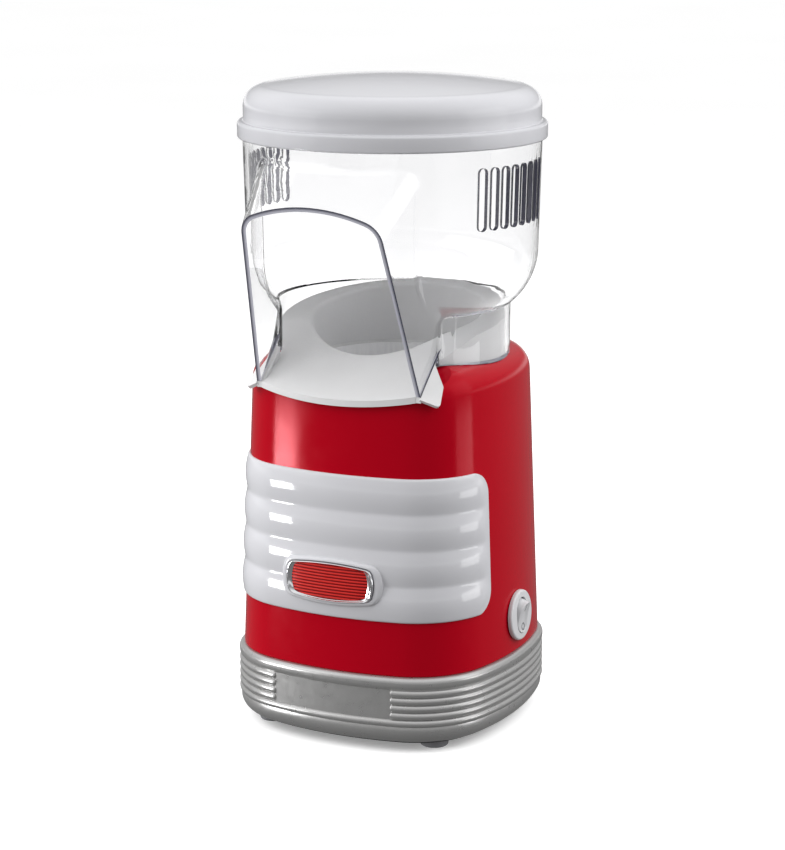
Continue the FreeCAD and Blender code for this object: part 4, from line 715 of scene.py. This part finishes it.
def ring_faces(rows, count, closed=True):
    """Quads between rings of points, with the last ring joined to the first one or not."""
    faces = []
    for j in range(rows if closed else rows - 1):
        k = (j + 1) % rows
        for i in range(count):
            n = (i + 1) % count
            faces.append((j * count + i, j * count + n, k * count + n, k * count + i))
    return faces


def framed(name, outer, inner, steps, material):
    """Closed frame on the wall; each step is a share of the way from the outer outline to the inner, and an offset."""
    points = [on_wall(ax + (bx - ax) * share, az + (bz - az) * share, out)
              for share, out in steps for (ax, az), (bx, bz) in zip(outer, inner)]
    return solid(name, points, ring_faces(len(steps), len(outer)), material, 50.0)


pad_steps = ((0.0, 0.6), (0.02, 1.4), (0.1, 2.2), (0.24, 2.85), (0.45, 3.25), (0.7, 3.4), (0.9, 3.35), (0.98, 3.1),
             (1.0, 2.7), (1.0, 0.6))
pad = framed("badge_pad", barrel(25.5, 22.0, 4.0), barrel(22.0, 18.0, 2.4), pad_steps, white_gloss)
settle(pad, "housing", "white_gloss")

# Badge: a chromed frame with a hollow bevel set into the pad, round a gloss-red plate with fine level ribs.
# The plate is left plain.
def chrome_plate():
    """Bright chrome on plastic: a faint ripple and a thin haze of handling."""
    material, tree, shader, coords = start_material("bright_chrome")
    shader.inputs["Metallic"].default_value = 1.0
    haze = noise(tree, coords, 220.0)
    colours = blend_colours(tree, haze, (0.7, 0.7, 0.72), (0.8, 0.8, 0.82))
    coat(tree, shader, colours, spread(tree, haze, 0.08, 0.16), noise(tree, coords, 120.0), 0.000004)
    return material


chrome = chrome_plate()
bezel_steps = ((0.0, 2.3), (0.0, 3.7), (0.04, 4.1), (0.14, 4.35), (0.26, 4.4), (0.36, 4.3), (0.55, 3.85), (0.8, 3.5),
               (1.0, 3.3), (1.0, 2.3))
bezel = framed("badge_bezel_chrome", barrel(21.85, 17.7, 2.3), barrel(19.1, 15.6, 1.4), bezel_steps, chrome)
settle(bezel, "housing", "bright_chrome", "badge_bezel")
PLATE_HALF, PLATE_HEIGHT, PLATE_BACK, PLATE_FACE, PLATE_PILLOW = 19.6, 15.6, 2.3, 3.1, 0.35
RIB_STEP, RIB_RISE = 1.4, 0.14


def red_with_painted_groove_shade():
    """Gloss red with painted shade: level darker bands painted where the grooves between the ribs lie."""
    material, tree, shader, coords = start_material("badge_red_painted_groove_shade")
    height = add_node(tree, "ShaderNodeSeparateXYZ", {"Vector": coords}).outputs["Z"]
    turn = 2.0 * math.pi
    wave = maths(tree, "MULTIPLY_ADD", height, turn / (RIB_STEP * MM), -turn * (BADGE_Z / RIB_STEP % 1.0))
    # Painted shade: the red darkens to about a third where the grooves between the ribs lie and is brightest on their
    # crests.
    groove_shade = spread(tree, maths(tree, "COSINE", wave), 0.0, 1.0, -0.35, 0.15)
    colours = blend_colours(tree, groove_shade, (0.17, 0.003, 0.005), (0.58, 0.025, 0.02))
    polish = spread(tree, noise(tree, coords, 300.0), 0.16, 0.26)
    coat(tree, shader, colours, polish, noise(tree, coords, 700.0), 0.00001)
    fill(shader, {"Specular IOR Level": 0.35, "Specular Tint": (1.0, 0.4, 0.4, 1.0)})
    return material


# The ribbed plate's red, with painted shade in its grooves.
groove_shaded_red = red_with_painted_groove_shade()


def badge_plate():
    """Pillowed plate whose ribs run level across it."""
    bow = BADGE_BOW * PLATE_HEIGHT
    width, rows = 61, 111
    front, back = [], []
    for s in [2.0 * j / (rows - 1) - 1.0 for j in range(rows)]:
        for t in [2.0 * i / (width - 1) - 1.0 for i in range(width)]:
            corner = 1.0 - 0.035 * (abs(s) * abs(t))**6
            x = t * (PLATE_HALF - bow * s**2) * corner
            z = s * (PLATE_HEIGHT / 2 - bow * t**2) * corner
            rib = RIB_RISE * math.cos(2.0 * math.pi * z / RIB_STEP)
            front.append(on_wall(x, z, PLATE_FACE + PLATE_PILLOW * (1 - s**4) * (1 - t**6) + rib))
            back.append(on_wall(x, z, PLATE_BACK))
    size, top = width * rows, width * (rows - 1)
    border = list(range(width)) + [j * width + width - 1 for j in range(1, rows)]
    border += [top + i for i in range(width - 2, -1, -1)] + [j * width for j in range(rows - 2, 0, -1)]
    rim = [(a, b, size + b, size + a) for a, b in zip(border, border[1:] + border[:1])]
    return solid("badge_plate_ribbed", front + back, sheet_faces(rows, width) + rim, groove_shaded_red, 60.0)


settle(badge_plate(), "housing", "badge_red", "badge_plate")

# Rocker switch: a round white body snapped into the right-hand side low down, with brass blades behind,
# and a dished rocker on two side pins. The rocker carries a bar and a ring for on and off.
switch_white = gloss("switch_white", (0.56, 0.56, 0.575), (0.53, 0.53, 0.545), (0.2, 0.28), 0.4)
settle(welded("switch_bezel", "switch_body", switch_white), "housing", "switch_white", "switch_body")
own_finish(brass, "switch_tabs")
ROCKER_PIVOT, ROCKER_TILT, ROCKER_SIDE, ROCKER_FACE_LOW, ROCKER_FACE_BOW = -1.5, math.radians(11.0), 5.3, 3.0, 20.0
ROCKER_FACE_HALF, ROCKER_STEPS = 7.6, 24
mark_ink = moulded("mark_ink", (0.06, 0.06, 0.065), (0.045, 0.045, 0.05), (0.4, 0.55), 600.0, 0.00003)
rocker_place = (switch_place @ Matrix.Translation((ROCKER_PIVOT * MM, 0.0, 0.0))
                @ Matrix.Rotation(ROCKER_TILT, 4, "Y") @ Matrix.Translation((-ROCKER_PIVOT * MM, 0.0, 0.0)))


def on_rocker(y, z, out):
    """Point on the dished face of the rocker, an offset out from it."""
    dish = ROCKER_FACE_LOW + ROCKER_FACE_BOW - math.sqrt(ROCKER_FACE_BOW**2 - z**2)
    return tuple(rocker_place @ Vector(((dish + out) * MM, y * MM, z * MM)))


def key_outline(half, inset):
    """Outline of the key across and along it, round at both ends."""
    side, straight = ROCKER_SIDE - inset, half - ROCKER_SIDE
    turns = [math.pi * i / ROCKER_STEPS - math.pi / 2 for i in range(ROCKER_STEPS + 1)]
    return [(side * math.sin(a + turn), side * math.cos(a + turn) + shift)
            for turn, shift in ((0.0, straight), (math.pi, -straight)) for a in turns]


def rocker_mesh():
    """Round-ended key: drum-shaped ends that clear the pocket as it tips, and a dished face with an eased edge."""
    drum = ((-4.2, 6.0), (-3.1, 8.1), (-1.5, 8.3), (0.1, 8.2), (1.2, 7.95))
    eased = ((0.6, 0.0), (0.18, 0.12), (0.0, 0.35))
    points = [tuple(rocker_place @ Vector((out * MM, y * MM, z * MM)))
              for out, half in drum for y, z in key_outline(half, 0.0)]
    points += [on_rocker(y, z, -drop) for drop, inset in eased for y, z in key_outline(ROCKER_FACE_HALF, inset)]
    layers, count, steps = len(drum) + len(eased), 2 * ROCKER_STEPS + 2, ROCKER_STEPS
    faces = ring_faces(layers, count, False)
    for row in (0, (layers - 1) * count):
        for end in (row, row + steps + 1):
            for i in range(steps // 2 - 1):
                faces.append((end + i, end + i + 1, end + steps - i - 1, end + steps - i))
            faces.append((end + steps // 2 - 1, end + steps // 2, end + steps // 2 + 1))
        faces.append((row, row + steps, row + steps + 1, row + 2 * steps + 1))
    return solid("rocker_key", points, faces, switch_white, 40.0)


settle(rocker_mesh(), "rocker", "switch_white", "switch_rocker")


def mark(name, outer, inner):
    """Printed mark: a thin closed band on the rocker between two like outlines."""
    rows = ((outer, INK_OUT), (inner, INK_OUT), (inner, INK_IN), (outer, INK_IN))
    points = [on_rocker(y, z, out) for outline, out in rows for y, z in outline]
    settle(solid(name, points, ring_faces(len(rows), len(outer)), mark_ink), "rocker", "switch_white")


INK_OUT, INK_IN, OFF_Z, ON_Z, BAR_HALF, BAR_REACH = 0.04, -0.1, -4.6, 4.4, 0.26, 1.6
mark("mark_off", *([(y, z + OFF_Z) for y, z in ring(radius, 40)] for radius in (1.7, 1.25)))
bar = [(BAR_HALF * c, ON_Z + BAR_REACH * c * s) for c in (1, -1) for s in (-1, -0.5, 0, 0.5, 1)]
mark("mark_on", bar, [(y * 0.02, ON_Z + (z - ON_Z) * 0.86) for y, z in bar])

# Chute deck: a light grey heat-proof moulding with a funnel hole, a ramp down to the lip, a collar for the
# hood and a small flared ear on either side.
deck_grey = moulded("deck_grey", (0.63, 0.63, 0.635), (0.6, 0.6, 0.605), (0.5, 0.62), 900.0, 0.00008)
settle(welded("chute_deck_moulding", "chute_deck", deck_grey, 28.0), "housing", "deck_grey", "chute_deck")

# Clear hood: polycarbonate with an even wall, a round neck that sleeves over the collar, a bowl, a nose
# with an arched mouth and upright vent slots at both sides.
def clear_plastic():
    """Clear polycarbonate: barely tinted, with a faint moulding ripple and uneven polish."""
    material, tree, shader, coords = start_material("clear_plastic")
    fill(shader, {"Transmission Weight": 1.0, "IOR": 1.45})
    colours = blend_colours(tree, noise(tree, coords, 25.0), (0.965, 0.965, 0.97), (0.98, 0.98, 0.985))
    polish = spread(tree, noise(tree, coords, 90.0), 0.0, 0.03)
    coat(tree, shader, colours, polish, noise(tree, coords, 60.0), 0.00004)
    return material


clear = clear_plastic()


def painted_edge_light():
    """Cut edge of the clear wall with painted light: a dark painted shade along its outer border and a pale painted
    reflection along its inner one.
    """
    material, tree, shader, coords = start_material("clear_edge_painted_light")
    across = tree.nodes.new("ShaderNodeAttribute")
    across.attribute_name = "rim"
    # Painted light on the edge: a pale painted reflection on its inner border, a dark painted shade on its outer
    # border.
    shade = spread(tree, across.outputs["Fac"], 0.0, 1.0, 0.3, 0.8)
    colours = blend_colours(tree, shade, (0.5, 0.5, 0.57), (0.07, 0.07, 0.1))
    polish = spread(tree, noise(tree, coords, 140.0), 0.1, 0.16)
    coat(tree, shader, colours, polish, noise(tree, coords, 260.0), 0.00001)
    return material


edge_painted_light = painted_edge_light()
# Slot walls of the clear hood: a dark painted shade.
slot_painted_shade = gloss("slot_edge_painted_shade", (0.1, 0.1, 0.13), (0.07, 0.07, 0.1), (0.08, 0.14), 0.6)
hood = welded("hood_clear", "hood_shell", clear, 50.0)
MOUTH_LEAN, BORDER_TOP = math.radians(18.6), 188.0
SLOT_LOW, SLOT_HIGH, SLOT_REACH = 235.0, 265.0, 63.0


def paint_light_on_edges(mesh):
    """Cut edges of the clear wall, round the mouth, the lower border and the slots, take painted light: a dark painted
    shade in the slots, and round the mouth and the lower border a painted edge, dark outside and pale inside.
    """
    mouth = Vector((0.0, -math.cos(MOUTH_LEAN), -math.sin(MOUTH_LEAN)))
    mesh.materials.append(edge_painted_light)
    mesh.materials.append(slot_painted_shade)
    for face in mesh.polygons:
        spot = face.center - Vector((0.0, axis_y, 0.0))
        outward = Vector((spot.x, spot.y, 0.0)).normalized()
        at_mouth = face.normal.dot(mouth) > 0.98
        at_border = face.normal.z < -0.55 and spot.z < BORDER_TOP * MM
        at_slot = abs(face.normal.dot(outward)) < 0.3 and SLOT_LOW * MM < spot.z < SLOT_HIGH * MM
        # Slot walls take the dark painted shade; the mouth and the lower border take the painted edge.
        if at_slot and Vector((spot.x, spot.y)).length > SLOT_REACH * MM and abs(spot.x) > SLOT_REACH / 2 * MM:
            face.material_index = 2
        elif at_mouth or at_border:
            face.material_index = 1
    skin = np.zeros((len(mesh.vertices), 3))
    for face in mesh.polygons:
        if face.material_index == 0:
            skin[list(face.vertices)] += face.normal
    edges = [face for face in mesh.polygons if face.material_index == 1]
    middle = sum((face.center for face in edges), Vector()) / len(edges)
    # Which border each edge point lies on, for the painted edge: 1 outer, 0 inner.
    rim = mesh.attributes.new("rim", "FLOAT", "POINT")
    for face in edges:
        for v in face.vertices:
            away = Vector(skin[v]).dot(mesh.vertices[v].co - middle)
            rim.data[v].value = 1.0 if away > 0.0 else 0.0


paint_light_on_edges(hood.data)
settle(hood, "hood", "clear_plastic", "hood_shell")

# Lid: a shallow gloss-white cap turned in one piece, with a flange that sleeves over the hood's rim, a
# stepped side and a low domed crown.
LID_RADIUS, LID_DOME, LID_LOW, LID_FLANGE_TOP, LID_SIDE_TOP = 70.7, 68.0, 272.0, 279.7, 285.7
LID_SHOULDER_R, LID_CROWN, LID_TOP, LID_WALL, LID_SKIRT, LID_SEAT = 59.0, 295.5, 300.0, 2.0, 68.8, 279.3


def crown_arc(radius, low, top, count):
    """Low domed arc from a radius to the axis, level in the middle."""
    sphere = (radius**2 + (top - low)**2) / (2.0 * (top - low))
    reach = math.asin(radius / sphere)
    turns = [reach * (1.0 - (i + 1) / count) for i in range(count)]
    return [(sphere * math.sin(a), top - sphere * (1.0 - math.cos(a))) for a in turns]


def lid_profile():
    """Section of the lid from the middle of its hollow round its skirt to the middle of its crown."""
    aside = 1 - math.sqrt(0.5)
    bend_in, bend_up = (LID_DOME - LID_SHOULDER_R) * aside, (LID_CROWN - LID_SIDE_TOP) * aside
    hollow, under = LID_DOME - LID_WALL, LID_CROWN - LID_WALL
    inside = crown_arc(LID_SHOULDER_R, under, LID_TOP - LID_WALL, 24)
    side = drawn(
        (LID_SHOULDER_R, under), ((hollow - bend_in, under - bend_up), (hollow, LID_SIDE_TOP), 10),
        (hollow, LID_SEAT), (LID_SKIRT, LID_SEAT), (LID_SKIRT, LID_LOW + 0.4), (LID_SKIRT + 0.4, LID_LOW),
        (LID_RADIUS - 1.0, LID_LOW), ((LID_RADIUS - 0.29, LID_LOW + 0.29), (LID_RADIUS, LID_LOW + 1.0), 6),
        (LID_RADIUS, LID_FLANGE_TOP - 1.4),
        ((LID_RADIUS - 0.41, LID_FLANGE_TOP - 0.41), (LID_RADIUS - 1.4, LID_FLANGE_TOP), 8),
        (LID_DOME + 0.6, LID_FLANGE_TOP),
        ((LID_DOME + 0.18, LID_FLANGE_TOP + 0.18), (LID_DOME, LID_FLANGE_TOP + 0.6), 5),
        (LID_DOME, LID_SIDE_TOP), ((LID_DOME - bend_in, LID_CROWN - bend_up), (LID_SHOULDER_R, LID_CROWN), 22))
    return inside[::-1] + side + crown_arc(LID_SHOULDER_R, LID_CROWN, LID_TOP, 30)


def turned(name, profile, count, material):
    """Turned solid from a section that starts and ends on the axis."""
    points, faces, body = [], [], profile[1:-1]
    for i in range(count):
        a = 2.0 * math.pi * i / count
        points.extend(put(r * math.cos(a), r * math.sin(a), z) for r, z in body)
    first, last = len(points), len(points) + 1
    points += [put(0.0, 0.0, profile[0][1]), put(0.0, 0.0, profile[-1][1])]
    span = len(body)
    for i in range(count):
        n = (i + 1) % count
        for j in range(span - 1):
            faces.append((i * span + j, n * span + j, n * span + j + 1, i * span + j + 1))
        faces.append((first, n * span, i * span))
        faces.append((last, i * span + span - 1, n * span + span - 1))
    return solid(name, points, faces, material, 40.0)


lid_white = gloss("lid_white", (0.53, 0.53, 0.555), (0.51, 0.51, 0.535), (0.1, 0.15), 0.45)
settle(turned("lid_gloss", lid_profile(), 256, lid_white), "lid", "white_gloss", "lid_cap")

# Stage: a plain pale floor under soft studio light, from a large panel and small bright ones at each side and
# a sky that is brightest overhead. The camera looks from the front, a little from the right and above.
floor_finish = moulded("studio_floor", (0.95, 0.95, 0.95), (0.93, 0.93, 0.93), (0.6, 0.7), 40.0, 0.00001, 3.0)
FLOOR_HALF, FLOOR_GLOW = 400.0, 0.23
floor_finish.node_tree.nodes["Principled BSDF"].inputs["Emission Strength"].default_value = FLOOR_GLOW
floor_corners = [(x * FLOOR_HALF, y * FLOOR_HALF, 0.0) for x, y in ((-1, -1), (1, -1), (1, 1), (-1, 1))]
floor = object_of("studio_floor", floor_corners, [], [(0, 1, 2, 3)])
floor.data.materials.append(floor_finish)
floor.visible_glossy = floor.visible_diffuse = False
scene = bpy.context.scene
scene.view_settings.view_transform = "Standard"


def studio_sky(low, high):
    """White light from overhead that fades downwards, above a bright rim along the horizon."""
    scene.world = bpy.data.worlds.new("studio_sky")
    scene.world.use_nodes = True
    tree = scene.world.node_tree
    outward = tree.nodes.new("ShaderNodeTexCoord").outputs["Generated"]
    height = add_node(tree, "ShaderNodeSeparateXYZ", {"Vector": outward}).outputs["Z"]
    above, below = spread(tree, height, 0.0, 1.0, -0.08, -0.03), spread(tree, height, 1.0, 0.0, 0.02, 0.09)
    rim = maths(tree, "MULTIPLY", above, below)
    light = maths(tree, "MAXIMUM", spread(tree, height, low, high, 0.05, 0.75), rim)
    fill(tree.nodes["Background"], {"Color": (1.0, 1.0, 1.0, 1.0), "Strength": light})


studio_sky(0.2, 1.0)


def aimed(made, place, aim):
    """Add a lamp or the camera to the scene at a place, turned to a point."""
    made.location = place
    made.rotation_euler = (Vector(aim) - Vector(place)).to_track_quat("-Z", "Y").to_euler()
    scene.collection.objects.link(made)
    return made


def softbox(name, place, aim, width, height, power, mirrored):
    """Panel of light aimed at a point, out of the picture itself; gloss mirrors it or not."""
    lamp = bpy.data.lights.new(name, "AREA")
    lamp.shape = "RECTANGLE"
    lamp.size, lamp.size_y = width, height
    lamp.energy, lamp.spread = power, PANEL_SPREAD
    made = aimed(bpy.data.objects.new(name, lamp), place, aim)
    made.visible_camera = False
    made.visible_glossy, made.visible_transmission = mirrored, not mirrored


PANEL_SPREAD, AIM_TOP = math.radians(130.0), 0.2
for name, place, width, height, power, mirrored in (
        ("left_low", (-0.36, -0.33, 0.04), 0.1, 0.08, 0.4, True),
        ("left_high", (-0.4, -0.36, 0.36), 0.36, 0.36, 0.2, True),
        ("right_low", (0.5, 0.1, 0.04), 0.28, 0.1, 0.14, True),
        ("right_high", (0.5, 0.1, 0.36), 0.36, 0.36, 0.2, True),
        ("left_wide", (-0.72, -0.35, 0.68), 1.6, 0.8, 5.6, False),
        ("right_wide", (0.72, 0.35, 0.68), 1.6, 0.8, 5.6, False)):
    softbox("panel_" + name, place, (0.0, axis_y, min(place[2], AIM_TOP)), width, height, power, mirrored)
CAMERA_PLACE, CAMERA_AIM = (0.519, -1.05485, 0.4064), (0.0, 0.006855, 0.1369)
lens = bpy.data.cameras.new("studio_camera")
lens.lens, lens.sensor_width = 109.9, 36.0
scene.camera = aimed(bpy.data.objects.new("studio_camera", lens), CAMERA_PLACE, CAMERA_AIM)
